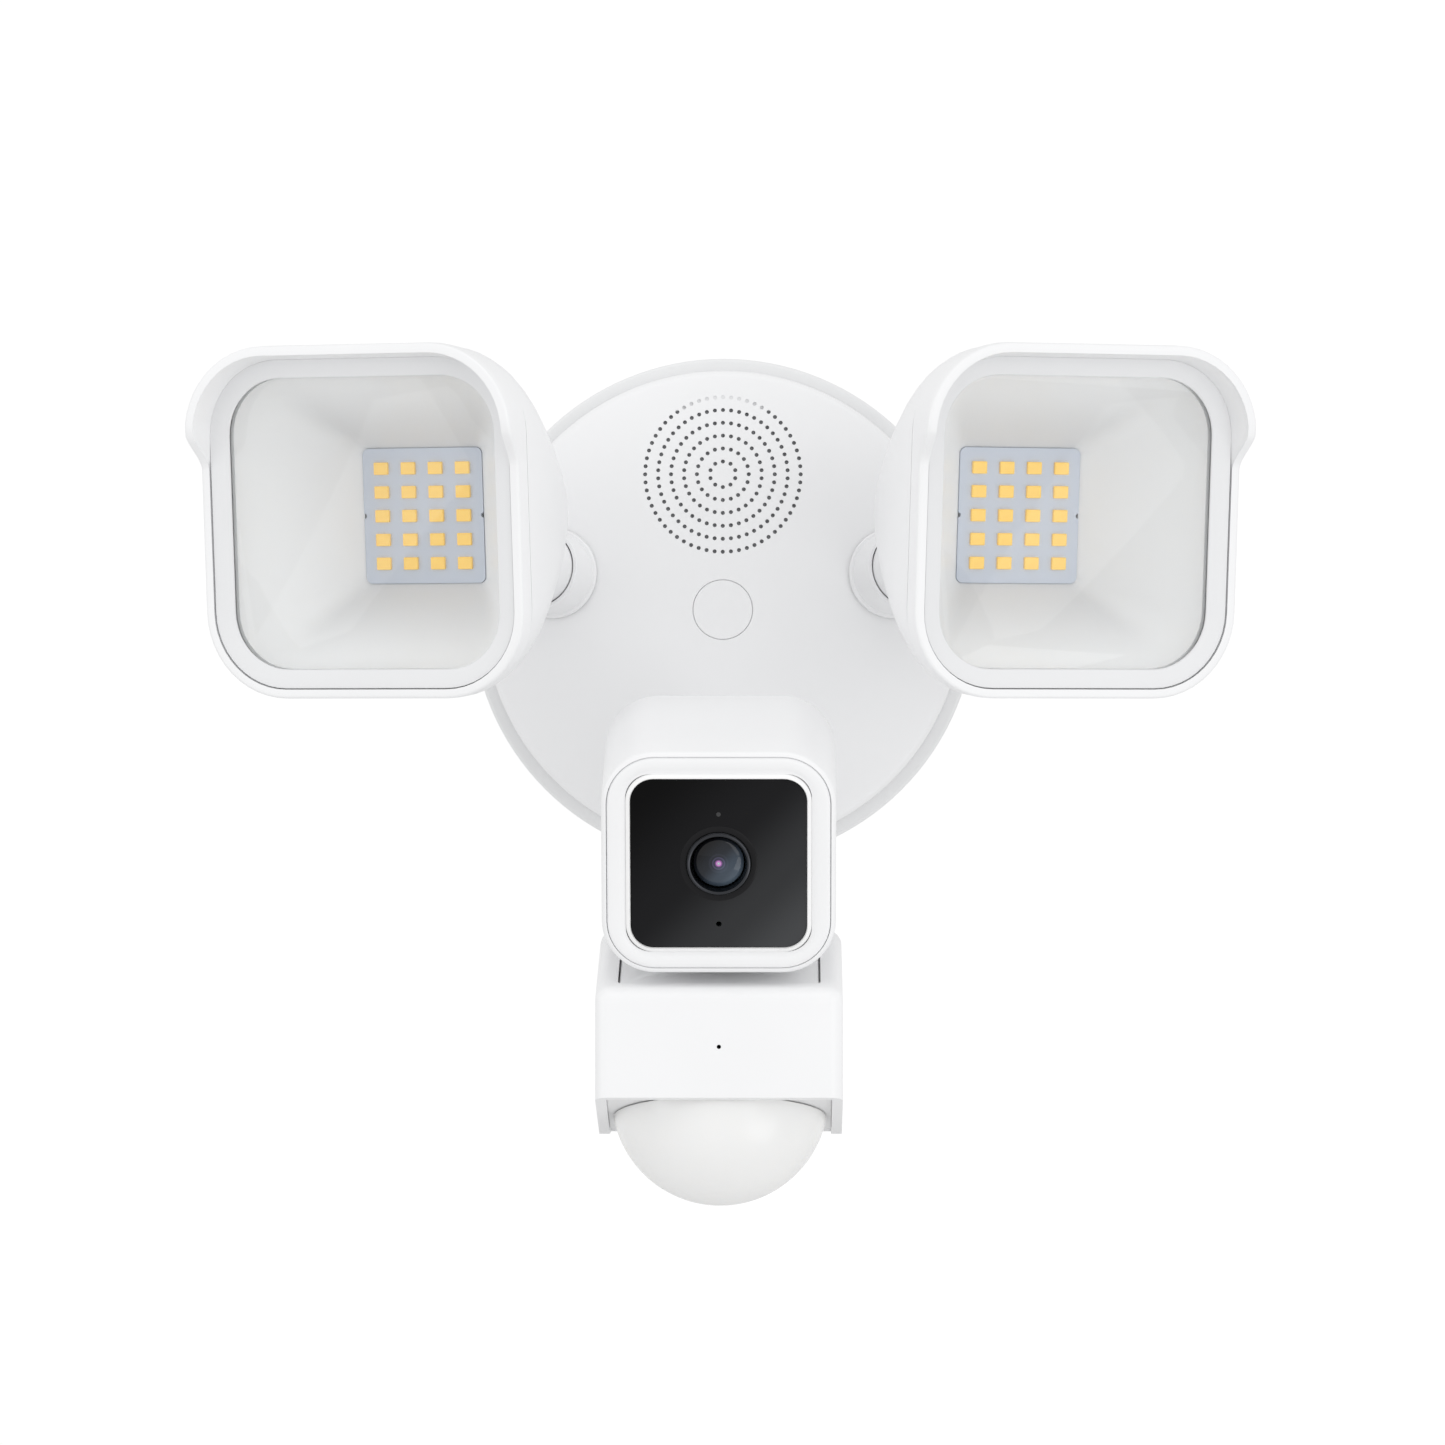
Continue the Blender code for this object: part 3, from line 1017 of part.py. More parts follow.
def make_camera_shell(camera, pivot):
    """Cube-shaped shell with its hinge lug underneath, open at the front."""
    turn = CAMERA_BACK_ROUND
    outside = [camera_ring(0.0, CAMERA_EDGE), camera_ring(CAMERA_EDGE, 0.0)]
    outside += [camera_ring(CAMERA_DEPTH - turn + along, turn - across)
                for across, along in arc(turn, 0.0, 90.0, ARC_STEPS)]
    bezel_seat = BEZEL_MARGIN - GAP
    inside = [camera_ring(0.0, bezel_seat), camera_ring(BEZEL_THICKNESS + GAP, bezel_seat),
              camera_ring(BEZEL_THICKNESS + GAP, CAMERA_WALL),
              camera_ring(CAMERA_DEPTH - CAMERA_WALL, CAMERA_WALL)]
    shell = loft("camera_shell", list(reversed(outside)) + inside, "white", camera, pivot)
    hinge = hinge_frame()
    half = HINGE_LUG_WIDTH / 2.0
    join(shell, rod("lug_eye", HINGE_KNUCKLE_RADIUS, -half, half, "white", hinge, pivot))
    under = -CAMERA_HEIGHT / 2.0
    stem_place = camera @ shift(y=under - HINGE_BELOW / 2.0 + CAMERA_WALL / 4.0,
                                z=-CAMERA_DEPTH + HINGE_AHEAD)
    join(shell, box("lug_stem", (HINGE_LUG_WIDTH, HINGE_BELOW + CAMERA_WALL / 2.0),
                    -HINGE_LUG_THICKNESS / 2.0, HINGE_LUG_THICKNESS / 2.0, "white", stem_place,
                    pivot))
    cut(shell, rod("lug_bore", HINGE_PIN_RADIUS + GAP, -half - CUT_PAST, half + CUT_PAST,
                   "white", hinge, pivot))
    cut(shell, rod("button_hole", BUTTON_RADIUS + TURN_GAP, -CAMERA_WALL - CUT_PAST, CUT_PAST,
                   "white", button_frame(camera)))


def button_frame(camera):
    """The button's frame on the camera's underside: local Z down, out of the camera."""
    place = camera @ shift(y=-CAMERA_HEIGHT / 2.0, z=-BUTTON_BACK)
    return place @ Matrix.Rotation(math.radians(90.0), 4, "X")


def make_camera_front(camera, pivot):
    """Bezel, raised ring and black panel, each in the one before."""
    bezel_width = CAMERA_WIDTH - 2.0 * BEZEL_MARGIN
    bezel_height = CAMERA_HEIGHT - 2.0 * BEZEL_MARGIN
    hole_width, hole_height = RING_WIDTH + 2.0 * GAP, RING_HEIGHT + 2.0 * GAP
    outer = (bezel_width, bezel_height, CAMERA_CORNER - BEZEL_MARGIN)
    hole = (hole_width, hole_height, RING_CORNER + GAP)
    back = -BEZEL_THICKNESS
    loft("camera_bezel", [outline(*outer, back), outline(*outer, -GAP), outline(*hole, -GAP),
                          outline(*hole, back)], "white", camera, pivot, round_trip=True)
    ring = (RING_WIDTH, RING_HEIGHT, RING_CORNER)
    lip = (RING_WIDTH - 2.0 * RING_WALL, RING_HEIGHT - 2.0 * RING_WALL, RING_CORNER - RING_WALL)
    loft("camera_face_ring", [outline(*ring, back), outline(*ring, RING_STAND),
                              outline(*lip, RING_STAND), outline(*lip, back)],
         "white", camera, pivot, round_trip=True)
    panel = [value - 2.0 * GAP for value in lip[:2]]
    glass = box("camera_front_panel", panel, -PANEL_THICKNESS, 0.0, "black", camera, pivot,
                corner=lip[2] - GAP)
    cut(glass, rod("panel_hole", LENS_RING_RADIUS + GAP, -PANEL_THICKNESS - CUT_PAST, CUT_PAST,
                   "black", camera, pivot, steps=LENS_STEPS))


def make_camera_optics(camera, pivot):
    """Lens ring, front lens, barrel, infrared board and main board."""
    ring_back = -PANEL_THICKNESS - LENS_RING_BACK
    turned("camera_lens_ring", [
        (LENS_RADIUS + GAP, ring_back), (LENS_RING_RADIUS, ring_back),
        (LENS_RING_RADIUS, LENS_RING_STAND - LENS_RING_EDGE),
        (LENS_RING_RADIUS - LENS_RING_EDGE, LENS_RING_STAND),
        (LENS_RADIUS + GAP, -LENS_RING_EDGE)], "black", camera, pivot, steps=LENS_STEPS)
    lens_back = -PANEL_THICKNESS - LENS_SEAT
    profile = [(0.0, lens_back), (LENS_RADIUS, lens_back)]
    profile += [(LENS_RADIUS * share, height) for share, height in LENS_STATIONS]
    turned("camera_lens", profile, "lens", camera, pivot, LENS_STEPS, round_trip=False)
    barrel_front = lens_back - GAP
    barrel_back = barrel_front - BARREL_LENGTH
    rod("camera_lens_barrel", LENS_RADIUS, barrel_back, barrel_front, "black", camera, pivot,
        LENS_STEPS)
    ir_front = -BEZEL_THICKNESS - IR_BOARD_BEHIND
    ir_back = ir_front - IR_BOARD_THICKNESS
    ir_hole = LENS_RING_RADIUS + GAP
    infrared = turned("infrared_board", [
        (ir_hole, ir_back), (IR_BOARD_RADIUS, ir_back), (IR_BOARD_RADIUS, ir_front),
        (ir_hole, ir_front)], "green_board", camera, pivot, steps=LENS_STEPS)
    reach = (IR_BOARD_RADIUS + LENS_RING_RADIUS) / 2.0
    for lamp in range(IR_LED_COUNT):
        angle = 2.0 * math.pi * (lamp + 0.5) / IR_LED_COUNT
        join(infrared, rod(f"infrared_led_{lamp}", IR_LED_RADIUS,
                           ir_front - IR_BOARD_THICKNESS / 2.0, ir_front + IR_LED_HEIGHT, "lens",
                           camera @ shift(reach * math.cos(angle), reach * math.sin(angle)),
                           pivot))
    board_front = barrel_back - GAP
    board_back = board_front - BOARD_THICKNESS
    board = box("camera_main_board", (CAMERA_BOARD_WIDTH, CAMERA_BOARD_HEIGHT), board_back,
                board_front, "green_board", camera, pivot, corner=CAMERA_BOARD_CORNER)
    join(board, box("board_processor", PROCESSOR_SIZE, board_back - PROCESSOR_HEIGHT,
                    board_back + BOARD_THICKNESS / 2.0, "black", camera, pivot))


def make_button(camera, pivot):
    """Set-up button in the camera's underside: a cap on a short shank with a catch."""
    place = button_frame(camera)
    press = add_pivot("setup_button_press", place.translation)
    catch_top = -CAMERA_WALL - GAP
    catch_low = catch_top - BUTTON_CATCH_THICKNESS
    catch_radius = BUTTON_RADIUS + BUTTON_CATCH_WIDTH
    turned("setup_button", [
        (0.0, catch_low), (catch_radius, catch_low), (catch_radius, catch_top),
        (BUTTON_RADIUS, catch_top), (BUTTON_RADIUS, BUTTON_STAND), (0.0, BUTTON_STAND)],
        "grey", place, press, round_trip=False)


def make_camera():
    """The camera and all that tilts with it."""
    camera = camera_frame()
    pivot = add_pivot("camera_tilt", hinge_centre())
    make_camera_shell(camera, pivot)
    make_camera_front(camera, pivot)
    make_camera_optics(camera, pivot)
    make_button(camera, pivot)


def build():
    """The whole light, base first."""
    for old in list(bpy.data.objects):
        bpy.data.objects.remove(old, do_unlink=True)
    base = facing(0.0)
    make_plate(base)
    make_gasket(base)
    make_cover(base, {"left": collar_frame(-1), "right": collar_frame(1)})
    make_centre_plug(base)
    make_cover_screw(base)
    make_speaker(base)
    make_power_board(base)
    make_terminal_block(base)
    make_lamp("left", -1)
    make_lamp("right", 1)
    make_bracket(base)
    make_yoke()
    arm_pivot = add_pivot("arm_tilt", (0.0, -TILT_PIN_OUT, -ARM_DOWN))
    make_arm(arm_pivot)
    make_sensor(arm_pivot)
    make_foot(arm_pivot)
    make_camera()


build()
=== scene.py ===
# Wall floodlight: a round base with two swivelling lamp heads, a motion sensor and a cube camera.
# Metres, Z up. The wall is the plane Y = 0 and the light faces -Y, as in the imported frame.
import json
import math

import bpy
from mathutils import Matrix, Quaternion, Vector


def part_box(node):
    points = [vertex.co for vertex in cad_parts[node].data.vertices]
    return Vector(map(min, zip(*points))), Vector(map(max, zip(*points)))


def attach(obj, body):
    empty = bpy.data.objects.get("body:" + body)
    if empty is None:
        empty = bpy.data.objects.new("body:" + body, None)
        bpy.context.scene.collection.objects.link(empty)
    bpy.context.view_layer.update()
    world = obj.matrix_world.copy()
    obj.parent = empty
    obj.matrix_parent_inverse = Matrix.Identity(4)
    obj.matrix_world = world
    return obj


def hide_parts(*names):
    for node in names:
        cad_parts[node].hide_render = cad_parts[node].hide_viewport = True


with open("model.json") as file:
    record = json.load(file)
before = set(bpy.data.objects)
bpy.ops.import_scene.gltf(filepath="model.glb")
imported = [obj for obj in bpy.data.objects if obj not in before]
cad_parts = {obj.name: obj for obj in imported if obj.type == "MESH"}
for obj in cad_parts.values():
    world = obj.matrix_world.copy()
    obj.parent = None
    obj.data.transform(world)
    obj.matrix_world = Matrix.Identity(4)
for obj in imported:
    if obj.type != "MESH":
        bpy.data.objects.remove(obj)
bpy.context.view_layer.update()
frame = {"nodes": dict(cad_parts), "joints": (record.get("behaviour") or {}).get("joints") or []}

scene = bpy.context.scene
scene.view_settings.view_transform = "Standard"

viewpoint = bpy.data.cameras.new("viewpoint")
viewpoint.lens = 186.85
viewpoint.sensor_width = 36.0
viewpoint.clip_end = 50.0
scene.camera = bpy.data.objects.new("viewpoint", viewpoint)
scene.camera.location = (0.0158, -1.7857, -0.0265)
scene.camera.rotation_euler = (math.radians(90.0), 0.0, math.radians(0.516))
scene.collection.objects.link(scene.camera)

bpy.ops.object.select_all(action="DESELECT")
bpy.ops.mesh.primitive_plane_add(size=6.0, location=(0.0, 0.0, -1.1))
floor = bpy.context.object
floor.name = "studio_floor"

surround = bpy.data.worlds.new("white_surround")
surround.use_nodes = True
scene.world = surround
sky, wires = surround.node_tree.nodes, surround.node_tree.links
glow = sky["Background"]
glow.inputs["Color"].default_value = (1.0, 1.0, 1.0, 1.0)
LIGHT_GIVEN, LIGHT_SEEN = 0.81, 1.02
seen = sky.new("ShaderNodeLightPath")
backing = sky.new("ShaderNodeMix")
backing.inputs["A"].default_value = LIGHT_GIVEN
backing.inputs["B"].default_value = LIGHT_SEEN
wires.new(seen.outputs["Is Camera Ray"], backing.inputs["Factor"])
wires.new(backing.outputs["Result"], glow.inputs["Strength"])


def hang_softbox(name, place, aim, size, power, roll=0.0):
    """A rectangular softbox that faces its aim."""
    lamp = bpy.data.lights.new(name, "AREA")
    lamp.shape = "RECTANGLE"
    lamp.size, lamp.size_y = size
    lamp.energy = power
    box = bpy.data.objects.new(name, lamp)
    box.location = place
    turn = (Vector(aim) - Vector(place)).to_track_quat("-Z", "Y")
    box.rotation_euler = (turn @ Quaternion((0.0, 0.0, 1.0), math.radians(roll))).to_euler()
    scene.collection.objects.link(box)


hang_softbox("top_softbox", (0.05, -0.80, 1.15), (0.0, -0.05, -0.05), (1.2, 0.9), 2.4)
hang_softbox("left_softbox", (-1.584, -0.885, 0.256), (-0.399, 0.174, 0.440), (1.2, 1.2), 5.2, 45.0)
hang_softbox("right_softbox", (0.996, -1.535, 0.254), (-0.171, -0.455, 0.440), (1.2, 1.2), 4.7, 45.0)
hang_softbox("low_softbox", (1.00, -0.95, -0.85), (0.0, -0.08, -0.08), (0.8, 0.6), 2.3)

# Mounting plate: a moulded ring-edged disc that two screws hold to the junction box.
# Its back has a groove for the foam gasket, two screw slots and a hole for the house wires.


def plain_material(name, colour, roughness, metallic=0.0):
    """A material whose colour and roughness drift a little over the piece, and its shader."""
    material = bpy.data.materials.new(name)
    material.use_nodes = True
    shader = material.node_tree.nodes["Principled BSDF"]
    shader.inputs["Metallic"].default_value = metallic
    nodes, links = material.node_tree.nodes, material.node_tree.links
    place = nodes.new("ShaderNodeTexCoord")
    drift = nodes.new("ShaderNodeTexNoise")
    drift.inputs["Scale"].default_value = 26.0
    drift.inputs["Detail"].default_value = 3.0
    colour_blend = nodes.new("ShaderNodeMix")
    colour_blend.data_type = "RGBA"
    colour_blend.inputs["A"].default_value = (*[value * 0.975 for value in colour], 1.0)
    colour_blend.inputs["B"].default_value = (*[min(value * 1.015, 1.0) for value in colour], 1.0)
    gloss = nodes.new("ShaderNodeMapRange")
    gloss.inputs["To Min"].default_value = roughness - 0.05
    gloss.inputs["To Max"].default_value = roughness + 0.05
    links.new(place.outputs["Object"], drift.inputs["Vector"])
    links.new(drift.outputs["Fac"], colour_blend.inputs["Factor"])
    links.new(drift.outputs["Fac"], gloss.inputs["Value"])
    links.new(colour_blend.outputs["Result"], shader.inputs["Base Color"])
    links.new(gloss.outputs["Result"], shader.inputs["Roughness"])
    return material, shader


def add_grain(material, shader, size, depth, cells=False):
    """Fine surface grain: spark-eroded mould texture, or casting grain where cells is set."""
    nodes, links = material.node_tree.nodes, material.node_tree.links
    place = nodes.new("ShaderNodeTexCoord")
    grain = nodes.new("ShaderNodeTexVoronoi" if cells else "ShaderNodeTexNoise")
    grain.inputs["Scale"].default_value = 1.0 / size
    bump = nodes.new("ShaderNodeBump")
    bump.inputs["Strength"].default_value = 0.35
    bump.inputs["Distance"].default_value = depth
    links.new(place.outputs["Object"], grain.inputs["Vector"])
    links.new(grain.outputs[0], bump.inputs["Height"])
    links.new(bump.outputs["Normal"], shader.inputs["Normal"])


def moulded_plastic(name, colour, roughness, grain=0.0004, depth=0.00002):
    """Matt moulded plastic."""
    material, shader = plain_material(name, colour, roughness)
    add_grain(material, shader, grain, depth)
    shader.inputs["IOR"].default_value = 1.47
    return material


def facing(place, right, up):
    """A frame at place: local X right, Y up and Z out of the face."""
    right, up = Vector(right).normalized(), Vector(up).normalized()
    turn = Matrix((right, up, right.cross(up))).transposed().to_4x4()
    return Matrix.Translation(place) @ turn


def pick(piece):
    """Makes this the only selected object, and the active one."""
    bpy.ops.object.select_all(action="DESELECT")
    piece.select_set(True)
    bpy.context.view_layer.objects.active = piece


def new_ring(name, points):
    """A closed ring of edges, shaped from a circle."""
    bpy.ops.object.select_all(action="DESELECT")
    bpy.ops.mesh.primitive_circle_add(vertices=len(points))
    ring = bpy.context.object
    ring.name = ring.data.name = name
    for vertex, point in zip(ring.data.vertices, points):
        vertex.co = point
    return ring


def turn_profile(name, profile, steps=96, closed=True):
    """A profile of (radius, height) points spun about local Z."""
    piece = new_ring(name, [(radius, 0.0, height) for radius, height in profile])
    last = {0, len(profile) - 1}
    bpy.ops.object.mode_set(mode="EDIT")
    if not closed:
        bpy.ops.mesh.select_all(action="DESELECT")
        bpy.ops.object.mode_set(mode="OBJECT")
        for edge in piece.data.edges:
            edge.select = set(edge.vertices) == last
        bpy.ops.object.mode_set(mode="EDIT")
        bpy.ops.mesh.select_mode(type="EDGE")
        bpy.ops.mesh.delete(type="EDGE")
        bpy.ops.mesh.select_mode(type="VERT")
    bpy.ops.mesh.select_all(action="SELECT")
    bpy.ops.mesh.spin(steps=steps, angle=2.0 * math.pi, center=(0.0, 0.0, 0.0), axis=(0.0, 0.0, 1.0))
    bpy.ops.mesh.select_all(action="SELECT")
    bpy.ops.mesh.remove_doubles(threshold=2e-6)
    bpy.ops.mesh.normals_make_consistent(inside=False)
    bpy.ops.object.mode_set(mode="OBJECT")
    return piece


def draw_skin(name, rings, ends="capped"):
    """A skin drawn ring by ring, each extruded from the last: capped at its ends, or joined up."""
    piece = new_ring(name, rings[0])
    seats = {number: number for number in range(len(rings[0]))}
    for ring in rings[1:] + ([rings[0]] if ends == "joined" else []):
        made = len(piece.data.vertices)
        bpy.ops.object.mode_set(mode="EDIT")
        bpy.ops.mesh.extrude_region_move()
        bpy.ops.object.mode_set(mode="OBJECT")
        after = {}
        for edge in piece.data.edges:
            low, high = sorted(edge.vertices)
            if low < made <= high:
                after[high] = seats[low]
        seats = after
        for number, seat in seats.items():
            piece.data.vertices[number].co = ring[seat]
    bpy.ops.object.mode_set(mode="EDIT")
    if ends == "capped":
        bpy.ops.mesh.edge_face_add()
        bpy.ops.mesh.select_all(action="DESELECT")
        bpy.ops.mesh.select_non_manifold()
        bpy.ops.mesh.edge_face_add()
    bpy.ops.mesh.select_all(action="SELECT")
    bpy.ops.mesh.remove_doubles(threshold=1e-6)
    bpy.ops.mesh.normals_make_consistent(inside=False)
    bpy.ops.object.mode_set(mode="OBJECT")
    return piece


def rounded(width, tall, corner, height, steps=10, sides=()):
    """A rounded rectangle at that height, anticlockwise, with extra points up its sides."""
    corner = max(min(corner, width / 2.0, tall / 2.0), 0.00001)
    points = []
    for quarter in range(4):
        across = (width / 2.0 - corner) * (1.0 if quarter in (0, 1) else -1.0)
        above = (tall / 2.0 - corner) * (1.0 if quarter in (1, 2) else -1.0)
        for step in range(steps + 1):
            angle = math.pi / 2.0 * (quarter - 1 + step / steps)
            points.append((across + corner * math.cos(angle), above + corner * math.sin(angle),
                           height))
        if quarter == 0:
            points += [(width / 2.0, side, height) for side in sides]
        if quarter == 2:
            points += [(-width / 2.0, side, height) for side in reversed(sides)]
    return points


def arc(radius, start, end, steps, centre=(0.0, 0.0)):
    """Profile points along an arc, in degrees."""
    angles = [math.radians(start + (end - start) * step / steps) for step in range(steps + 1)]
    return [(centre[0] + radius * math.cos(angle), centre[1] + radius * math.sin(angle))
            for angle in angles]


def apply_modifier(piece, kind, **settings):
    """Adds a modifier with those settings and applies it."""
    pick(piece)
    step = piece.modifiers.new(kind.lower(), kind)
    for setting, value in settings.items():
        setattr(step, setting, value)
    bpy.ops.object.modifier_apply(modifier=step.name)


def soften(piece, width, segments=3, angle=35.0):
    """Rounds every edge sharper than the angle."""
    apply_modifier(piece, "BEVEL", width=width, segments=segments, limit_method="ANGLE",
                   angle_limit=math.radians(angle))


def combine(piece, tool, operation="DIFFERENCE"):
    """Cuts the piece with a tool, joins them or keeps what they share, and clears the tool away."""
    apply_modifier(piece, "BOOLEAN", object=tool, operation=operation, solver="EXACT")
    bpy.data.objects.remove(tool, do_unlink=True)


def settle(piece, place):
    """Moves a piece that was drawn at the origin into its frame."""
    piece.matrix_world = place @ piece.matrix_world
    pick(piece)
    bpy.ops.object.transform_apply(location=True, rotation=True, scale=True)
    return piece


def rod(name, radius, low, high, place, steps=48):
    """A straight round tool along its frame's Z."""
    bpy.ops.object.select_all(action="DESELECT")
    bpy.ops.mesh.primitive_cylinder_add(vertices=steps, radius=radius, depth=high - low,
                                        location=(0.0, 0.0, (low + high) / 2.0))
    tool = bpy.context.object
    tool.name = name
    return settle(tool, place)


def hand_over(piece, body, slot, material, *nodes, angle=32.0):
    """Smooths a finished piece, gives it its material and its body, and hides the nodes it stands for.
    """
    pick(piece)
    bpy.ops.object.shade_smooth_by_angle(angle=math.radians(angle))
    piece.data.materials.clear()
    piece.data.materials.append(material)
    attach(piece, body)
    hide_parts(*nodes)
    return piece


wall = facing((0.0, 0.0, 0.0), (1.0, 0.0, 0.0), (0.0, 0.0, 1.0))
trim_plastic = moulded_plastic("trim_plastic", (0.83, 0.835, 0.84), 0.42)

mounting_plate = turn_profile("mounting_plate", [
    (0.0, 0.0), (0.0502, 0.0), (0.0502, 0.0013), (0.0558, 0.0013), (0.0558, 0.0)]
    + arc(0.0008, -90.0, 0.0, 4, (0.0592, 0.0008)) + arc(0.0009, 0.0, 90.0, 5, (0.0591, 0.0021))
    + [(0.0570, 0.0030), (0.0070, 0.0030), (0.0070, 0.0120), (0.0024, 0.0120), (0.0024, 0.0030),
       (0.0, 0.0030)], steps=128, closed=False)
combine(mounting_plate, rod("wire_hole", 0.0090, -0.002, 0.006,
                            Matrix.Translation((0.0190, 0.0120, 0.0))))
for side in (-1, 1):
    slot_tool = draw_skin("screw_slot", [rounded(0.0120, 0.0050, 0.0025, height)
                                         for height in (-0.002, 0.006)])
    combine(mounting_plate, settle(slot_tool, Matrix.Translation((side * 0.0349, 0.0, 0.0))))
settle(mounting_plate, wall)
hand_over(mounting_plate, "base", "grey_trim", trim_plastic, "mount_plate")

# Gasket and what the base holds: a foam ring, the cover screw, the siren speaker, the lamp
# driver's board and the terminal block. All are bought in and sit between the plate and the cover.


def repaint(node, material):
    """Gives a node that stays as packed its own finish."""
    held = frame["nodes"][node].data
    held.materials.clear()
    held.materials.append(material)
    for face in held.polygons:
        face.material_index = 0


foam, foam_shader = plain_material("closed_cell_foam", (0.055, 0.055, 0.058), 0.88)
add_grain(foam, foam_shader, 0.0007, 0.00012, cells=True)
repaint("wall_gasket", foam)

steel, steel_shader = plain_material("plated_steel", (0.62, 0.63, 0.65), 0.26, 1.0)
add_grain(steel, steel_shader, 0.00025, 0.00001)
repaint("cover_screw", steel)

nylon = moulded_plastic("dark_nylon", (0.075, 0.077, 0.08), 0.52)
repaint("siren_speaker", nylon)

circuit, circuit_shader = plain_material("circuit_board", (0.025, 0.13, 0.06), 0.38)
tracks = circuit.node_tree.nodes.new("ShaderNodeTexBrick")
tracks.inputs["Scale"].default_value = 240.0
tracks.inputs["Color1"].default_value = (0.025, 0.13, 0.06, 1.0)
tracks.inputs["Color2"].default_value = (0.02, 0.11, 0.05, 1.0)
tracks.inputs["Mortar"].default_value = (0.05, 0.22, 0.10, 1.0)
tracks.inputs["Mortar Size"].default_value = 0.035
track_place = circuit.node_tree.nodes.new("ShaderNodeTexCoord")
circuit.node_tree.links.new(track_place.outputs["Object"], tracks.inputs["Vector"])
circuit.node_tree.links.new(tracks.outputs["Color"], circuit_shader.inputs["Base Color"])
repaint("power_board", circuit)

white_plastic = moulded_plastic("white_plastic", (0.895, 0.898, 0.906), 0.36)
repaint("terminal_block", white_plastic)

# Cover: one white moulding, a shallow dome with a rounded shoulder. It has 210 grille holes in
# six rings over the speaker, a hole for each lamp collar and a pocket in its middle for the screw.
DOME = 0.1680
DOME_CENTRE = 0.0250 - DOME
COVER_WALL = 0.0022
SHOULDER = 0.0544
PLUG_GAP = 0.00703
HOLE_PITCH = 0.00305
SPEAKER_UP = 0.0319


def dome_height(radius, drop=0.0):
    """Height of the cover's face above the wall, or of the face drop below it."""
    return DOME_CENTRE + math.sqrt((DOME - drop) ** 2 - radius ** 2)


face_radii = [SHOULDER * step / 18.0 for step in range(17, 2, -1)]
cover_profile = [(SHOULDER, 0.0033), (0.0563, 0.0033), (0.0566, 0.0036)]
cover_profile += arc(0.0022, 0.0, 71.0, 8, (SHOULDER, dome_height(SHOULDER) - 0.00208))
cover_profile += [(radius, dome_height(radius)) for radius in face_radii]
cover_profile += [(PLUG_GAP + 0.0002, dome_height(PLUG_GAP)),
                  (PLUG_GAP, dome_height(PLUG_GAP) - 0.0002)]
cover_profile += [(PLUG_GAP, 0.0188), (0.0024, 0.0188), (0.0024, 0.0123), (0.0096, 0.0123)]
cover_profile += [(radius, dome_height(radius, COVER_WALL)) for radius in
                  [0.0096] + sorted(face_radii)[1:] + [0.0530]]
cover_profile += [(SHOULDER, dome_height(SHOULDER, COVER_WALL) - 0.0010)]
cover = turn_profile("domed_cover", cover_profile, steps=144)


def packed_joint(name):
    """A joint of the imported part, by its name."""
    return next(joint for joint in frame["joints"] if joint["name"] == name)


collar_frames = {}
for word in ("left", "right"):
    swivel = packed_joint(f"lamp_{word}_swivel")
    along = Vector(swivel["axis"]).normalized()
    mouth = Vector(swivel["pos_m"]) - along * 0.0091
    level = Vector((0.0, 0.0, 1.0)).cross(along)
    collar_frames[word] = facing(mouth, level, along.cross(level))
    combine(cover, rod("collar_hole", 0.0101, -0.012, 0.012,
                       wall.inverted() @ collar_frames[word]))

grille = rod("grille_holes", 0.00049, 0.0170, 0.0300, Matrix.Translation((0.0, 0.0349, 0.0)), 10)
holes = [grille]
for ring in range(1, 7):
    for number in range(10 * ring):
        if ring == 1 and number == 0:
            continue
        angle = math.pi / 2.0 - 2.0 * math.pi * number / (10 * ring)
        hole = grille.copy()
        hole.data = grille.data.copy()
        hole.data.transform(Matrix.Translation((
            ring * HOLE_PITCH * math.cos(angle), ring * HOLE_PITCH * math.sin(angle) - 0.0030, 0.0)))
        scene.collection.objects.link(hole)
        holes.append(hole)
pick(grille)
for hole in holes:
    hole.select_set(True)
bpy.ops.object.join()


def under_face(name, radius, drop, low=0.0100):
    """A round block over the speaker whose top lies that far below the cover's face."""
    block = rod(name, radius, low, 0.0300, Matrix.Translation((0.0, SPEAKER_UP, 0.0)), 72)
    radii = [0.0540] + [SHOULDER * step / 18.0 for step in range(17, -1, -1)]
    bound = turn_profile("face_offset", [(0.0, low - 0.002), (0.0540, low - 0.002)]
                         + [(radius, dome_height(radius, drop)) for radius in radii],
                         steps=96, closed=False)
    combine(block, bound, "INTERSECT")
    return block


combine(cover, under_face("grille_recess", 0.0200, 0.0009))
combine(cover, grille)
settle(cover, wall)
hand_over(cover, "base", "white_shell", white_plastic, "dome_cover")

cloth_grey, cloth_shader = plain_material("speaker_cloth", (0.30, 0.305, 0.315), 0.85)
add_grain(cloth_grey, cloth_shader, 0.0003, 0.00008, cells=True)
cloth = under_face("grille_cloth", 0.0198, 0.0010)
combine(cloth, under_face("cloth_back", 0.0250, 0.0016, 0.0080))
settle(cloth, wall)
hand_over(cloth, "base", "dark_nylon", cloth_grey)

# Centre plug: a thin round cap pressed into the cover's pocket over its screw.
# It follows the dome, so that only the line round it shows.
plug = turn_profile("centre_cap", [
    (0.0, 0.0228), (0.0055, 0.0228), (0.0055, 0.0214), (0.00690, 0.0214),
    (0.00695, dome_height(0.00695) - 0.00015), (0.0068, dome_height(0.0068)),
    (0.0046, dome_height(0.0046)), (0.0023, dome_height(0.0023)), (0.0, 0.0250)],
    steps=96, closed=False)
settle(plug, wall)
hand_over(plug, "centre_plug_body", "white_shell", white_plastic, "centre_plug")

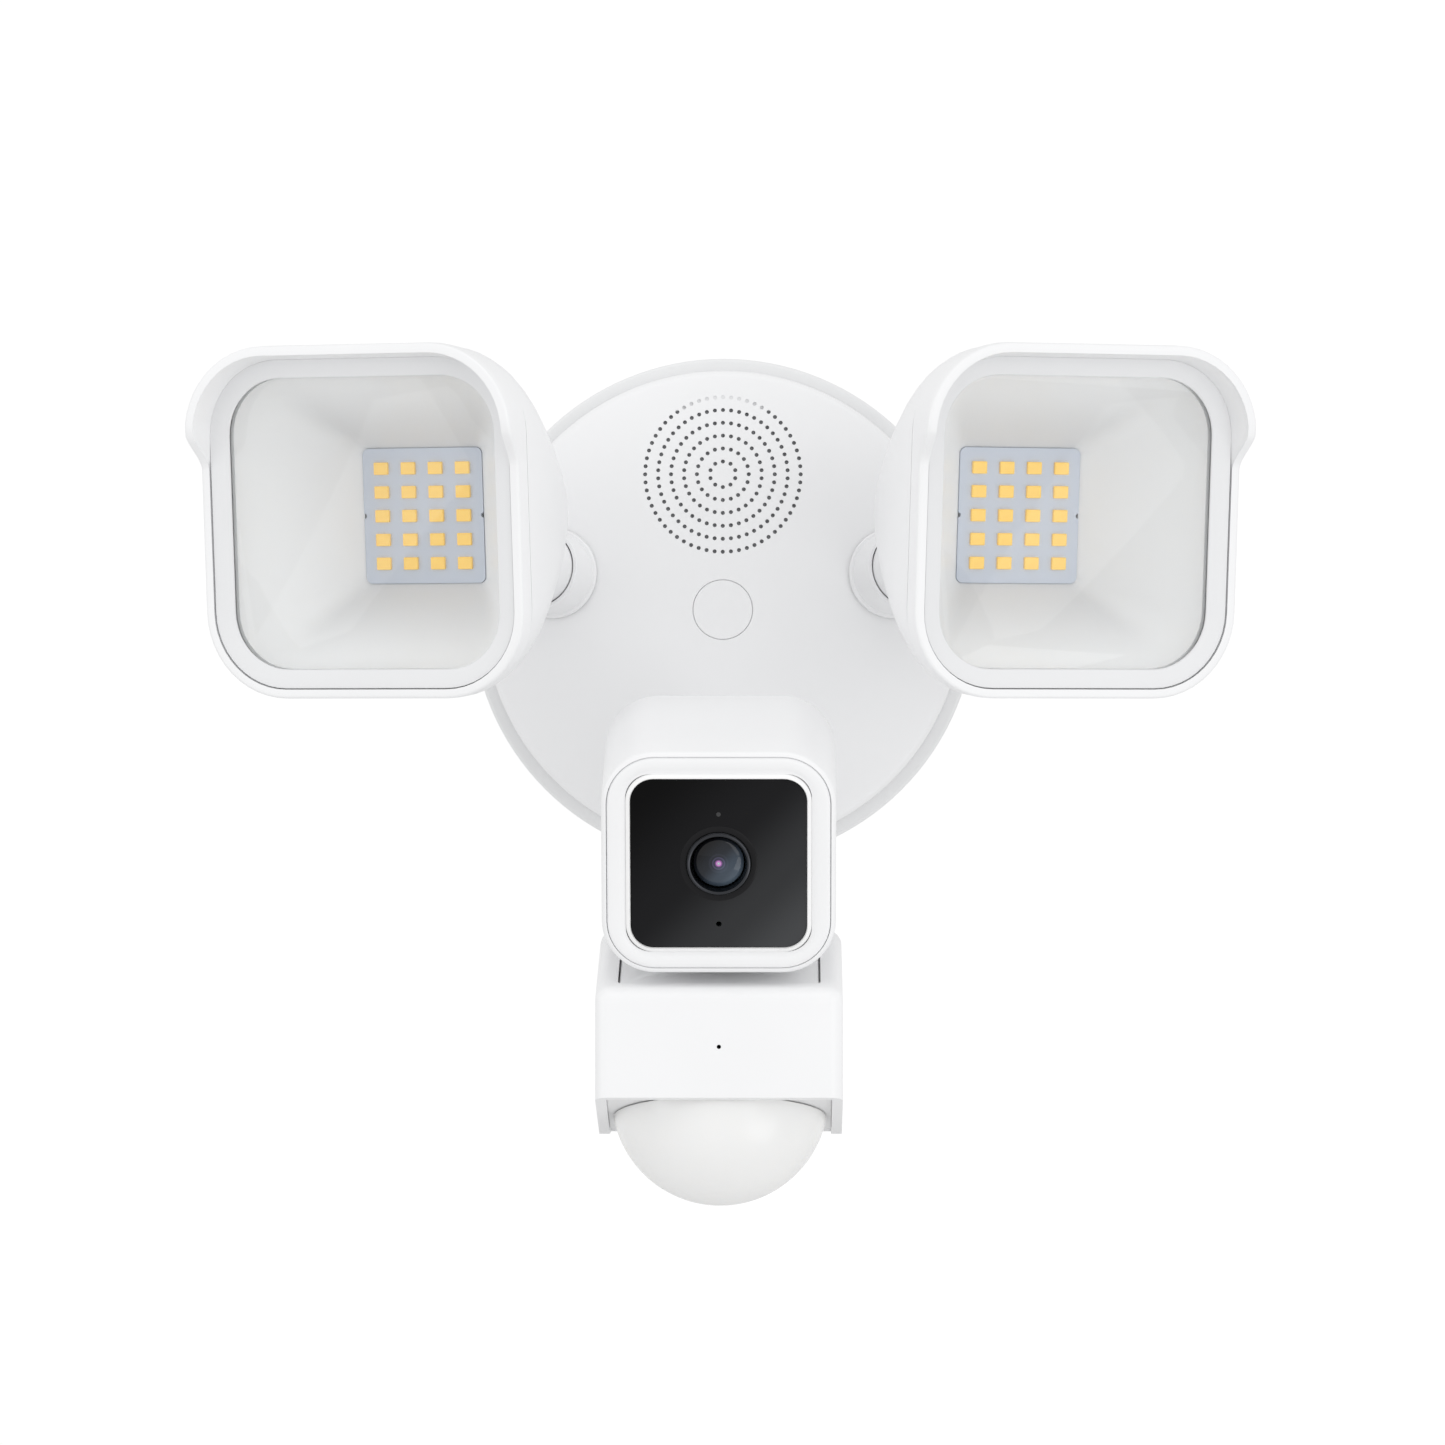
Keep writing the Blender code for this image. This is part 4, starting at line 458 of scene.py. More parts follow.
# Lamp collars: a short white tube in the cover for each lamp, with a thin flange on the dome.
# The nylon seat behind the ball turns inside it.
for word, side in (("left", -1), ("right", 1)):
    collar = turn_profile(f"lamp_{word}_socket", [
        (0.0098, -0.0057), (0.0098, 0.0072)] + arc(0.0002, 0.0, 90.0, 4, (0.0096, 0.0074))
        + [(0.00895, 0.0076), (0.00885, 0.0073), (0.0092, 0.0070), (0.0092, 0.0039),
           (0.0084, 0.0039), (0.0084, -0.0042), (0.0040, -0.0042), (0.0040, -0.0057)], steps=72)
    settle(collar, collar_frames[word])
    foot_place = Vector((side * 0.0399, -dome_height(math.hypot(0.0399, 0.0086)), 0.0086))
    outward = (foot_place - Vector((0.0, -DOME_CENTRE, 0.0))).normalized()
    level = Vector((0.0, 0.0, 1.0)).cross(outward)
    flange = turn_profile("socket_flange", [
        (0.0091, 0.0002), (0.0106, 0.0002)] + arc(0.0004, 0.0, 90.0, 4, (0.0102, 0.0006))
        + [(0.0091, 0.0010)], steps=72)
    settle(flange, facing(foot_place, level, outward.cross(level)))
    combine(collar, flange, "UNION")
    hand_over(collar, "base", "white_shell", white_plastic, f"lamp_{word}_collar")
    repaint(f"lamp_{word}_swivel_seat", nylon)

# Ball stems: a white ball and neck on each lamp, with a spindle through the head's pocket floor.
# A steel nut inside the head holds it.
head_frames = {}
BALL = {word: Vector((-side * 0.0075, -0.0146, -0.0767))
        for word, side in (("left", -1), ("right", 1))}
for word in ("left", "right"):
    tilt, turning = packed_joint(f"lamp_{word}_tilt"), packed_joint(f"lamp_{word}_turn")
    level, forward = Vector(tilt["axis"]), Vector(turning["axis"])
    ball_centre = Vector(turning["pos_m"])
    turned = facing((0.0, 0.0, 0.0), level, forward.cross(level))
    head_frames[word] = Matrix.Translation(ball_centre - turned @ BALL[word]) @ turned
    stem = turn_profile(f"lamp_{word}_ball", arc(0.0088, -89.5, 8.0, 18)
                        + [(0.0087, 0.0024), (0.0087, 0.0264), (0.0036, 0.0264),
                           (0.0036, 0.0319), (0.0, 0.0319)], steps=72, closed=False)
    settle(stem, head_frames[word] @ Matrix.Translation(BALL[word]))
    hand_over(stem, f"lamp_{word}_stem", "white_shell", white_plastic, f"lamp_{word}_ball_stem")
    repaint(f"lamp_{word}_stem_nut", steel)

# Lamp housings: each a white domed shell, square at the rim and round at the back.
# A round pocket in the lower back takes the neck of the ball stem.
HEAD = 0.0790
HEAD_CORNER = 0.0195
HEAD_DEPTH = 0.0702
HEAD_WALL = 0.0020
ROUND_BY = 0.64


def eased(share):
    """A share of a change that begins and ends softly."""
    return share * share * (3.0 - 2.0 * share)


def head_ring(depth, shrink=0.0):
    """The head's outline at that depth: it narrows and rounds off towards the back."""
    share = depth / HEAD_DEPTH
    size = HEAD * math.sqrt(1.0 - share ** 2) - 2.0 * shrink
    blend = eased(min(share / ROUND_BY, 1.0))
    corner = (HEAD_CORNER / HEAD + (0.5 - HEAD_CORNER / HEAD) * blend) * size
    return rounded(size, size, corner, -depth, 12)


depths = [HEAD_DEPTH * math.sin(math.radians(angle)) for angle in (*range(6, 84, 4), 86.0)]
outer_rings = [head_ring(depth) for depth in [0.0033] + depths]
inner_rings = [head_ring(depth, HEAD_WALL) for depth in [0.0033] + depths[:-5]]
for word in ("left", "right"):
    housing = draw_skin(f"lamp_{word}_shell", outer_rings[::-1] + inner_rings)
    neck = Matrix.Translation((BALL[word].x, BALL[word].y, 0.0))
    boss = rod("pocket_boss", 0.0109, -HEAD_DEPTH, -0.0478, neck)
    combine(boss, draw_skin("boss_bound", outer_rings[::-1]), "INTERSECT")
    combine(housing, boss, "UNION")
    combine(housing, rod("pocket", 0.0089, -HEAD_DEPTH - 0.002, -0.0500, neck))
    combine(housing, rod("spindle_hole", 0.0039, -0.0510, -0.0460, neck))
    settle(housing, head_frames[word])
    hand_over(housing, f"lamp_{word}_head", "white_shell", white_plastic, f"lamp_{word}_housing",
              angle=40.0)

# Rims with hoods: one white moulding snapped round each head's front.
# The hood stands out over the top and dies away in a curve on both sides.
HOOD_LOW, HOOD_HIGH = 0.0125, 0.0212
RIM_WALL = 0.0023
hood_sides = [HOOD_LOW + 0.0075 * step / 10.0 for step in range(10)]


def hood_front(points, height, reach=0.0062, flare=0.025):
    """Lifts the upper part of the rim's front into the hood."""
    lifted = []
    for x, y, _ in points:
        blend = eased(min(max((y - HOOD_LOW) / (HOOD_HIGH - HOOD_LOW), 0.0), 1.0))
        lifted.append((x * (1.0 + flare * blend), y * (1.0 + flare * blend),
                       height + reach * blend))
    return lifted


def rim_ring(inset, height):
    """The rim's outline that far inside its outer face."""
    return rounded(HEAD - 2.0 * inset, HEAD - 2.0 * inset, HEAD_CORNER - inset, height, 12,
                   hood_sides)


hood_rings = [rim_ring(0.0, -0.0030)]
hood_rings += [hood_front(rim_ring(0.0, 0.0), height) for height in (-0.0010, 0.0013)]
edge_round = (math.pi / 8.0, math.pi / 4.0, 3.0 * math.pi / 8.0, math.pi / 2.0)
hood_rings += [hood_front(rim_ring(0.0007 - 0.0007 * math.cos(angle), 0.0),
                          0.0013 + 0.0007 * math.sin(angle)) for angle in edge_round]
hood_rings += [hood_front(rim_ring(RIM_WALL - 0.0006 * math.sin(angle), 0.0),
                          0.0014 + 0.0006 * math.cos(angle)) for angle in edge_round]
hood_rings += [hood_front(rim_ring(RIM_WALL, 0.0), 0.0003),
               hood_front(rim_ring(RIM_WALL, 0.0), 0.0, 0.0020, 0.0), rim_ring(RIM_WALL, -0.0030)]
for word in ("left", "right"):
    hood = settle(draw_skin(f"lamp_{word}_rim", hood_rings, "joined"), head_frames[word])
    hand_over(hood, f"lamp_{word}_head", "white_shell", white_plastic, f"lamp_{word}_hood",
              angle=40.0)

# Inner frames, glasses and seals: a grey slanted frame presses the tempered pane on its seal.
# The pane is clear and flat, with a slight mirror on its face.
OPENING, OPENING_CORNER = 0.0660, 0.0130
FRAME, FRAME_CORNER = 0.07434, 0.01717
PANE, PANE_CORNER = 0.0714, 0.0157
frame_plastic = moulded_plastic("frame_plastic", (0.80, 0.805, 0.815), 0.40)
seal_rubber = moulded_plastic("seal_rubber", (0.82, 0.82, 0.83), 0.55)

clear_glass = bpy.data.materials.new("clear_glass")
clear_glass.use_nodes = True
panes, pane_links = clear_glass.node_tree.nodes, clear_glass.node_tree.links
panes.remove(panes["Principled BSDF"])
through = panes.new("ShaderNodeBsdfTransparent")
through.inputs["Color"].default_value = (0.985, 0.99, 0.99, 1.0)
mirror = panes.new("ShaderNodeBsdfGlossy")
mirror.inputs["Roughness"].default_value = 0.03
tilted = panes.new("ShaderNodeLayerWeight")
steeper = panes.new("ShaderNodeMath")
steeper.operation = "POWER"
steeper.inputs[1].default_value = 5.0
edge = panes.new("ShaderNodeMapRange")
edge.inputs["To Min"].default_value = 0.035
pane_links.new(tilted.outputs["Facing"], steeper.inputs[0])
pane_links.new(steeper.outputs[0], edge.inputs["Value"])
blend = panes.new("ShaderNodeMixShader")
pane_links.new(edge.outputs[0], blend.inputs[0])
pane_links.new(through.outputs[0], blend.inputs[1])
pane_links.new(mirror.outputs[0], blend.inputs[2])
pane_links.new(blend.outputs[0], panes["Material Output"].inputs["Surface"])

for word in ("left", "right"):
    inner_frame = draw_skin(f"lamp_{word}_frame", [
        rounded(OPENING, OPENING, OPENING_CORNER, -0.0001, 12),
        rounded(OPENING, OPENING, OPENING_CORNER, 0.0002, 12),
        rounded(OPENING + 0.0003, OPENING + 0.0003, OPENING_CORNER + 0.00015, 0.0004, 12),
        rounded(0.0740, 0.0740, 0.0170, 0.00150, 12),
        rounded(FRAME, FRAME, FRAME_CORNER, 0.0015, 12),
        rounded(FRAME, FRAME, FRAME_CORNER, -0.0001, 12)], "joined")
    settle(inner_frame, head_frames[word])
    hand_over(inner_frame, f"lamp_{word}_head", "grey_trim", frame_plastic,
              f"lamp_{word}_inner_frame")
    pane = draw_skin(f"lamp_{word}_pane", [
        rounded(PANE - inset, PANE - inset, PANE_CORNER, height, 12)
        for inset, height in ((0.0006, -0.0018), (0.0, -0.0016), (0.0, -0.0006), (0.0006, -0.0004))])
    settle(pane, head_frames[word])
    hand_over(pane, f"lamp_{word}_head", "clear_glass", clear_glass, f"lamp_{word}_glass")
    seal = draw_skin(f"lamp_{word}_seal", [
        rounded(wide, wide, corner, height, 12)
        for wide, corner, height in ((0.0680, 0.0140, -0.0045), (0.0680, 0.0140, -0.0021),
                                     (0.0710, 0.0155, -0.0021), (0.0710, 0.0155, -0.0045))],
        "joined")
    settle(seal, head_frames[word])
    hand_over(seal, f"lamp_{word}_head", "seal_rubber", seal_rubber, f"lamp_{word}_glass_seal")

# Reflectors: white moulded funnels from the pane to the lamp board, with soft folds at the corners.
# Each has a flange round its mouth that the seal sits on.
# The grey is painted shade, laid on the reflector walls where they close in on the board.
WALL_WHITE, WALL_PAINTED_SHADE = (0.985, 0.985, 0.99), (0.74, 0.74, 0.75)


def turned_distance(material, frame_axis, centre):
    """How far a point lies from centre along an axis of a head."""
    nodes, links = material.node_tree.nodes, material.node_tree.links
    place = nodes.new("ShaderNodeTexCoord")
    apart = nodes.new("ShaderNodeVectorMath")
    apart.operation = "SUBTRACT"
    apart.inputs[1].default_value = centre
    along = nodes.new("ShaderNodeVectorMath")
    along.operation = "DOT_PRODUCT"
    along.inputs[1].default_value = frame_axis
    links.new(place.outputs["Object"], apart.inputs[0])
    links.new(apart.outputs["Vector"], along.inputs[0])
    return along.outputs["Value"]


def smooth_span(material, value, low, high, start=0.0, end=1.0):
    """Maps a value's span onto start to end, with a soft beginning and end."""
    span = material.node_tree.nodes.new("ShaderNodeMapRange")
    span.interpolation_type = "SMOOTHSTEP"
    sockets = ("From Min", "From Max", "To Min", "To Max")
    for socket, setting in zip(sockets, (low, high, start, end)):
        span.inputs[socket].default_value = setting
    material.node_tree.links.new(value, span.inputs["Value"])
    return span.outputs["Result"]


def arithmetic(material, operation, first, second=None):
    """One step of arithmetic on node values."""
    step = material.node_tree.nodes.new("ShaderNodeMath")
    step.operation = operation
    for socket, value in zip(step.inputs, (first, second)):
        if isinstance(value, float):
            socket.default_value = value
        elif value is not None:
            material.node_tree.links.new(value, socket)
    return step.outputs["Value"]


def reflector_painted_shade(word):
    """White reflector plastic with painted shade: greyer near the board on the upper and lower walls.
    """
    material, shader = plain_material(f"{word}_reflector_painted_shade", WALL_WHITE, 0.40)
    place = head_frames[word]
    right, up, out = (place.to_3x3() @ Vector(axis) for axis in ((1, 0, 0), (0, 1, 0), (0, 0, 1)))
    across = turned_distance(material, right, place.translation)
    above = turned_distance(material, up, place.translation)
    deep = smooth_span(material, turned_distance(material, out, place.translation), -0.0060, -0.0330)
    fold = arithmetic(material, "SUBTRACT", arithmetic(material, "ABSOLUTE", above),
                      arithmetic(material, "ABSOLUTE", across))
    level_wall = smooth_span(material, fold, -0.0035, 0.0045, 0.25, 1.0)
    # Painted shade: how much grey each point gets, most on the upper and lower walls near the board.
    painted_shade_share = arithmetic(material, "MULTIPLY", deep, level_wall)
    shade = material.node_tree.nodes.new("ShaderNodeMix")
    shade.data_type = "RGBA"
    shade.inputs["A"].default_value = (*WALL_WHITE, 1.0)
    shade.inputs["B"].default_value = (*WALL_PAINTED_SHADE, 1.0)
    material.node_tree.links.new(painted_shade_share, shade.inputs["Factor"])
    material.node_tree.links.new(shade.outputs["Result"], shader.inputs["Base Color"])
    return material


FUNNEL_STEPS = 18
FOOT_WIDE, FOOT_TALL, FOOT_CORNER = 0.0301, 0.0311, 0.0015
FUNNEL_WALL = 0.0012
funnel, funnel_back = [], []
for step in range(FUNNEL_STEPS + 1):
    share = step / FUNNEL_STEPS
    closing = share ** 1.45
    size = OPENING + (FOOT_WIDE - OPENING) * closing
    tall = OPENING + (FOOT_TALL - OPENING) * closing
    corner = FOOT_CORNER + (OPENING_CORNER - FOOT_CORNER) * (1.0 - closing) ** 1.2
    height = -0.0021 - 0.0301 * share
    funnel.append(rounded(size, tall, corner, height, 10))
    funnel_back.append(rounded(size + 2.0 * FUNNEL_WALL, tall + 2.0 * FUNNEL_WALL,
                               corner + FUNNEL_WALL, min(height - 0.0004, -0.0060), 10))
flange_rings = [rounded(PANE, PANE, PANE_CORNER, height, 10) for height in (-0.0060, -0.0048)]
flange_rings += [rounded(0.0675, 0.0675, 0.01375, height, 10) for height in (-0.0048, -0.0021)]
for word in ("left", "right"):
    reflector = draw_skin(f"lamp_{word}_funnel", funnel + funnel_back[::-1] + flange_rings,
                          "joined")
    settle(reflector, head_frames[word])
    hand_over(reflector, f"lamp_{word}_head", "reflector_white", reflector_painted_shade(word),
              f"lamp_{word}_reflector", angle=60.0)

# Lamp boards: an aluminium-cored board with pale blue-grey solder mask and 20 chips.
# Each chip is a standard package with a block of yellow phosphor over its dies.
board_mask = moulded_plastic("solder_mask", (0.60, 0.645, 0.735), 0.40, 0.0009, 0.00001)
phosphor, phosphor_shader = plain_material("yellow_phosphor", (1.0, 0.66, 0.13), 0.42)
add_grain(phosphor, phosphor_shader, 0.0002, 0.00001)
# Painted glow: the phosphor gives off a faint orange light of its own, though the lamps are not lit.
phosphor_shader.inputs["Emission Color"].default_value = (1.0, 0.45, 0.06, 1.0)
phosphor_shader.inputs["Emission Strength"].default_value = 0.16
CHIP_WIDE, CHIP_TALL = 0.0035, 0.0028
COLUMN_PITCH, ROW_PITCH, BOARD_FACE = 0.00684, 0.00546, -0.0318
chip_rings = [rounded(CHIP_WIDE - 2.0 * inset, CHIP_TALL - 2.0 * inset, 0.0002, height, 2)
              for inset, height in ((0.0, 0.0), (0.0, 0.0006), (0.0001, 0.0007))]
for word in ("left", "right"):
    board = draw_skin(f"lamp_{word}_board", [rounded(0.0300, 0.0310, 0.0015, height, 8)
                      for height in (-0.0328, BOARD_FACE)])
    for side in (-1, 1):
        combine(board, rod("board_notch", 0.0006, -0.034, -0.031,
                           Matrix.Translation((side * 0.0150, 0.0, 0.0)), 20))
    settle(board, head_frames[word])
    hand_over(board, f"lamp_{word}_head", "lamp_board", board_mask, f"lamp_{word}_led_board")
    chips = draw_skin(f"lamp_{word}_chips", chip_rings)
    first = chips.data.copy()
    chips.data.transform(Matrix.Translation((-0.01026, -0.01092, BOARD_FACE)))
    grid = [chips]
    for column in range(4):
        for row in range(5):
            if column == row == 0:
                continue
            chip = bpy.data.objects.new("chip", first.copy())
            chip.data.transform(Matrix.Translation((
                (column - 1.5) * COLUMN_PITCH, (row - 2) * ROW_PITCH, BOARD_FACE)))
            scene.collection.objects.link(chip)
            grid.append(chip)
    pick(chips)
    for chip in grid:
        chip.select_set(True)
    bpy.ops.object.join()
    settle(chips, head_frames[word])
    hand_over(chips, f"lamp_{word}_head", "lamp_board", phosphor)

# Heat sinks: one die-cast aluminium piece with cooling fins behind each lamp board. It takes the
# board's heat and keeps its cast surface.
cast, cast_shader = plain_material("cast_aluminium", (0.56, 0.57, 0.58), 0.45, 1.0)
add_grain(cast, cast_shader, 0.0006, 0.00005, cells=True)
for word in ("left", "right"):
    repaint(f"lamp_{word}_heat_sink", cast)

# Arm: a bracket moulded on the cover's underside holds an upright pin, on which the yoke pans.
# A level pin through the yoke carries the arm, which widens to the sensor housing's back.
for node in ("arm_bracket", "arm_yoke", "sensor_arm"):
    repaint(node, white_plastic)
for node in ("arm_pan_pin", "arm_tilt_pin"):
    repaint(node, steel)

# Sensor housing: a white box that is open below, with a slanting top and underside.
# A well in its top takes the camera's foot, and a small hole in its front is for the microphone.
SENSOR_WIDTH = 0.0551
SENSOR_WALL = 0.0024
TOP_SLOPE, UNDER_SLOPE = math.radians(13.0), math.radians(14.3)
FRONT_OUT, BACK_OUT = 0.1210, 0.0680
FRONT_TOP, FRONT_FOOT, SENSOR_FOOT = -0.0858, -0.1098, -0.1200
UNDER_BEND = FRONT_OUT - 0.0102 / math.tan(UNDER_SLOPE)


def sensor_side(inset, drop):
    """Corners of the housing's side view, as (distance from the wall, height)."""
    front, back = FRONT_OUT - inset, BACK_OUT + inset
    down = inset / math.cos(TOP_SLOPE)
    rise, sink = math.tan(TOP_SLOPE), math.tan(UNDER_SLOPE)
    return [(front, FRONT_TOP + rise * inset - down), (front, FRONT_FOOT - sink * inset - drop),
            (UNDER_BEND, SENSOR_FOOT - drop), (back, SENSOR_FOOT - drop),
            (back, FRONT_TOP + rise * (FRONT_OUT - back) - down)]


def side_slab(name, corners, width):
    """A side view pushed out to that width."""
    return draw_skin(name, [[(side * width / 2.0, -out, height) for out, height in corners]
                            for side in (-1, 1)])


housing = side_slab("sensor_box", sensor_side(0.0, 0.0070), SENSOR_WIDTH)
soften(housing, 0.0030, 6, 40.0)
combine(housing, side_slab("under_trim", [
    (0.1300, FRONT_FOOT + 0.0090 * math.tan(UNDER_SLOPE)), (UNDER_BEND, SENSOR_FOOT),
    (0.0600, SENSOR_FOOT), (0.0600, -0.1400), (0.1300, -0.1400)], 0.0800))
combine(housing, side_slab("sensor_hollow", sensor_side(SENSOR_WALL, 0.0100),
                           SENSOR_WIDTH - 2.0 * SENSOR_WALL))
top_place = (Matrix.Translation((0.0, -FRONT_OUT, FRONT_TOP))
             @ Matrix.Rotation(TOP_SLOPE, 4, "X"))
hinge = packed_joint("camera_tilt")
hinge_along = (top_place.inverted() @ Vector(hinge["pos_m"])).y
foot_place = top_place @ Matrix.Translation((0.0, hinge_along + 0.0023 - 0.0220, 0.0))
well = settle(draw_skin("foot_well", [rounded(0.0517, 0.0472, 0.0, height, 2)
                                      for height in (-0.0060, -0.0017)]), foot_place)
combine(housing, well, "UNION")
combine(housing, settle(draw_skin("foot_seat", [rounded(0.0452, 0.0448, 0.0012, height, 5)
                                                for height in (-0.0036, 0.0100)]), foot_place))
combine(housing, rod("microphone_hole", 0.00048, 0.1180, 0.1220,
                     facing((0.0, 0.0, -0.0985), (1.0, 0.0, 0.0), (0.0, 0.0, 1.0)), 24))
hand_over(housing, "sensor_body", "white_shell", white_plastic, "sensor_housing")

# Base plate: a grey plate that closes the housing's underside, a little way up inside it.
# It bends where the underside does and has a round opening for the motion lens.
under_place = Matrix.Translation((0.0, -0.0952, FRONT_FOOT - 0.0258 * math.tan(UNDER_SLOPE)))
under_place = under_place @ Matrix.Rotation(math.pi - UNDER_SLOPE, 4, "X")
PLATE_FRONT, PLATE_BACK = 0.1185, 0.0705
PLATE_LOWER, PLATE_UPPER = 0.0012, 0.0032


def under_height(out, sink):
    """Height of the open underside at that distance from the wall, raised by sink."""
    return FRONT_FOOT - (FRONT_OUT - out) * math.tan(UNDER_SLOPE) + sink / math.cos(UNDER_SLOPE)


plate_corners = [(out, under_height(max(out, UNDER_BEND), sink)) for out, sink in (
    (PLATE_FRONT, PLATE_LOWER), (UNDER_BEND, PLATE_LOWER), (PLATE_BACK, PLATE_LOWER),
    (PLATE_BACK, PLATE_UPPER), (UNDER_BEND, PLATE_UPPER), (PLATE_FRONT, PLATE_UPPER))]
closing_plate = side_slab("closing_plate", plate_corners,
                          SENSOR_WIDTH - 2.0 * SENSOR_WALL - 0.00016)
combine(closing_plate, rod("dome_opening", 0.0220, -0.0120, 0.0060, under_place, 72))
hand_over(closing_plate, "sensor_body", "grey_trim", trim_plastic, "sensor_base_plate")
repaint("detector_board", circuit)

# Motion lens: a thin dome of milky polyethylene, clipped behind the base plate.
milk, milk_shader = plain_material("milky_polyethylene", (0.965, 0.962, 0.945), 0.24)
milk_shader.inputs["Subsurface Weight"].default_value = 0.25
milk_shader.inputs["Subsurface Radius"].default_value = (1.0, 0.95, 0.85)
milk_shader.inputs["Subsurface Scale"].default_value = 0.004
PIR_RADIUS, PIR_HEIGHT, PIR_WALL = 0.0240, 0.0198, 0.0012
pir_sphere = (PIR_RADIUS ** 2 + PIR_HEIGHT ** 2) / (2.0 * PIR_HEIGHT)
pir_middle = (0.0, PIR_HEIGHT - pir_sphere - 0.0009)
pir_rim = math.degrees(math.asin((pir_sphere - PIR_HEIGHT) / pir_sphere))
pir_inner_rim = math.degrees(math.asin((pir_sphere - PIR_HEIGHT) / (pir_sphere - PIR_WALL)))
dome_profile = arc(pir_sphere, pir_rim, 90.0, 26, pir_middle)
dome_profile += arc(pir_sphere - PIR_WALL, 90.0, pir_inner_rim, 20, pir_middle)
dome_profile[26] = (0.0, dome_profile[26][1])
dome_profile[27] = (0.0, dome_profile[27][1])
motion_dome = settle(turn_profile("motion_dome", dome_profile, steps=96), under_place)
hand_over(motion_dome, "sensor_body", "milky_lens", milk, "motion_lens", angle=50.0)

# Camera foot: a flat white block seated in the housing's well, with two knuckles at its back that
# hold the steel hinge pin.
KNUCKLE_OUT, KNUCKLE_HALF, KNUCKLE, BORE = 0.0094, 0.0030, 0.0023, 0.0013
foot = draw_skin("camera_cradle", [rounded(0.0444, 0.0440, 0.0010, height, 5)
                                   for height in (-0.0033, -0.0004)])
soften(foot, 0.0004, 3)
settle(foot, foot_place)
hinge_place = (Matrix.Translation(hinge["pos_m"]) @ Matrix.Rotation(math.radians(90.0), 4, "Y"))
in_foot = foot_place.inverted() @ Vector(hinge["pos_m"])
for side in (-1, 1):
    post = draw_skin("knuckle_post", [rounded(0.0060, 0.0046, 0.0, height, 2)
                                      for height in (-0.0015, in_foot.z)])
    settle(post, foot_place @ Matrix.Translation((side * KNUCKLE_OUT, in_foot.y, 0.0)))
    combine(foot, post, "UNION")
    combine(foot, rod("knuckle", KNUCKLE, side * KNUCKLE_OUT - KNUCKLE_HALF,
                      side * KNUCKLE_OUT + KNUCKLE_HALF, hinge_place), "UNION")
combine(foot, rod("knuckle_bore", BORE, -0.0130, 0.0130, hinge_place, 24))
hand_over(foot, "sensor_body", "grey_trim", white_plastic, "camera_foot")
repaint("camera_hinge_pin", steel)

# Camera shell: a white cube with large round corners, open at the front for the bezel.
# A lug under its back turns on the hinge pin, and a hole under its front takes the button.
press = packed_joint("setup_button_press")
panel_low, panel_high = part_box("camera_front_panel")
camera_place = facing((0.0, 0.0, 0.0), (1.0, 0.0, 0.0), press["axis"])
camera_place = (Matrix.Translation((panel_low + panel_high) / 2.0
                                   + camera_place.col[2].xyz * 0.00075) @ camera_place)
WIDE, TALL, DEEP, ROUND = 0.0520, 0.0510, 0.0520, 0.0120


def cube_ring(depth, shrink):
    """The cube's outline at that depth behind its face, that far inside its surface."""
    return rounded(WIDE - 2.0 * shrink, TALL - 2.0 * shrink, ROUND - shrink, -depth, 14)


shell_rings = [cube_ring(0.0010 - 0.0010 * math.sin(angle), 0.0010 - 0.0010 * math.cos(angle))
               for angle in (math.pi / 2.0, math.pi / 3.0, math.pi / 6.0, 0.0)]
shell_rings += [cube_ring(DEEP * share, 0.0) for share in (0.3, 0.6)]
shell_rings += [cube_ring(DEEP - 0.0050 + 0.0050 * math.sin(angle),
                          0.0050 - 0.0050 * math.cos(angle))
                for angle in [math.pi / 16.0 * step for step in range(9)]]
shell_inside = [cube_ring(0.0002, 0.00110), cube_ring(0.0028, 0.00110), cube_ring(0.0028, 0.0020),
                cube_ring(DEEP - 0.0020, 0.0020)]
shell = settle(draw_skin("camera_cube", shell_rings[::-1] + shell_inside), camera_place)
combine(shell, rod("lug", KNUCKLE, -0.0060, 0.0060, hinge_place), "UNION")
lug_stem = draw_skin("lug_stem", [rounded(0.0120, 0.0036, 0.0, height, 2)
                                  for height in (-0.00205, 0.00205)])
settle(lug_stem, camera_place @ Matrix.Translation((0.0, -0.0263, -0.0450)))
combine(shell, lug_stem, "UNION")
combine(shell, rod("lug_bore", BORE, -0.0070, 0.0070, hinge_place, 24))
button_place = (camera_place @ Matrix.Translation((0.0, -TALL / 2.0, -0.0140))
                @ Matrix.Rotation(math.radians(90.0), 4, "X"))
combine(shell, rod("button_hole", 0.0034, -0.0030, 0.0020, button_place))
hand_over(shell, "camera_body", "white_shell", white_plastic, "camera_shell", angle=36.0)
repaint("setup_button", frame_plastic)

# Camera front: a soft white bezel in the shell, a bright raised ring in the bezel, and a panel of
# black glass in the ring. The panel has a hole for the lens and a pinhole for a sound port; the status
# light's window sits in it.
bezel_steps = [(0.0012, -0.0025), (0.0012, -0.0005), (0.00130, -0.00025), (0.0016, -0.00005),
               (0.0022, 0.00008), (0.0030, 0.00010), (0.0038, 0.00004), (0.0044, -0.00008),
               (0.0049, -0.00018), (0.00537, -0.00020), (0.00537, -0.0025)]
bezel_rings = [rounded(WIDE - 2.0 * inset, TALL - 2.0 * inset + 0.0007 * (inset > 0.0038),
                       ROUND - inset - 0.0010 * max(inset - 0.0038, 0.0) / 0.0015, height, 12)
               for inset, height in bezel_steps]
bezel = settle(draw_skin("camera_bezel_ring", bezel_rings, "joined"), camera_place)
hand_over(bezel, "camera_body", "white_shell", white_plastic, "camera_bezel", angle=50.0)

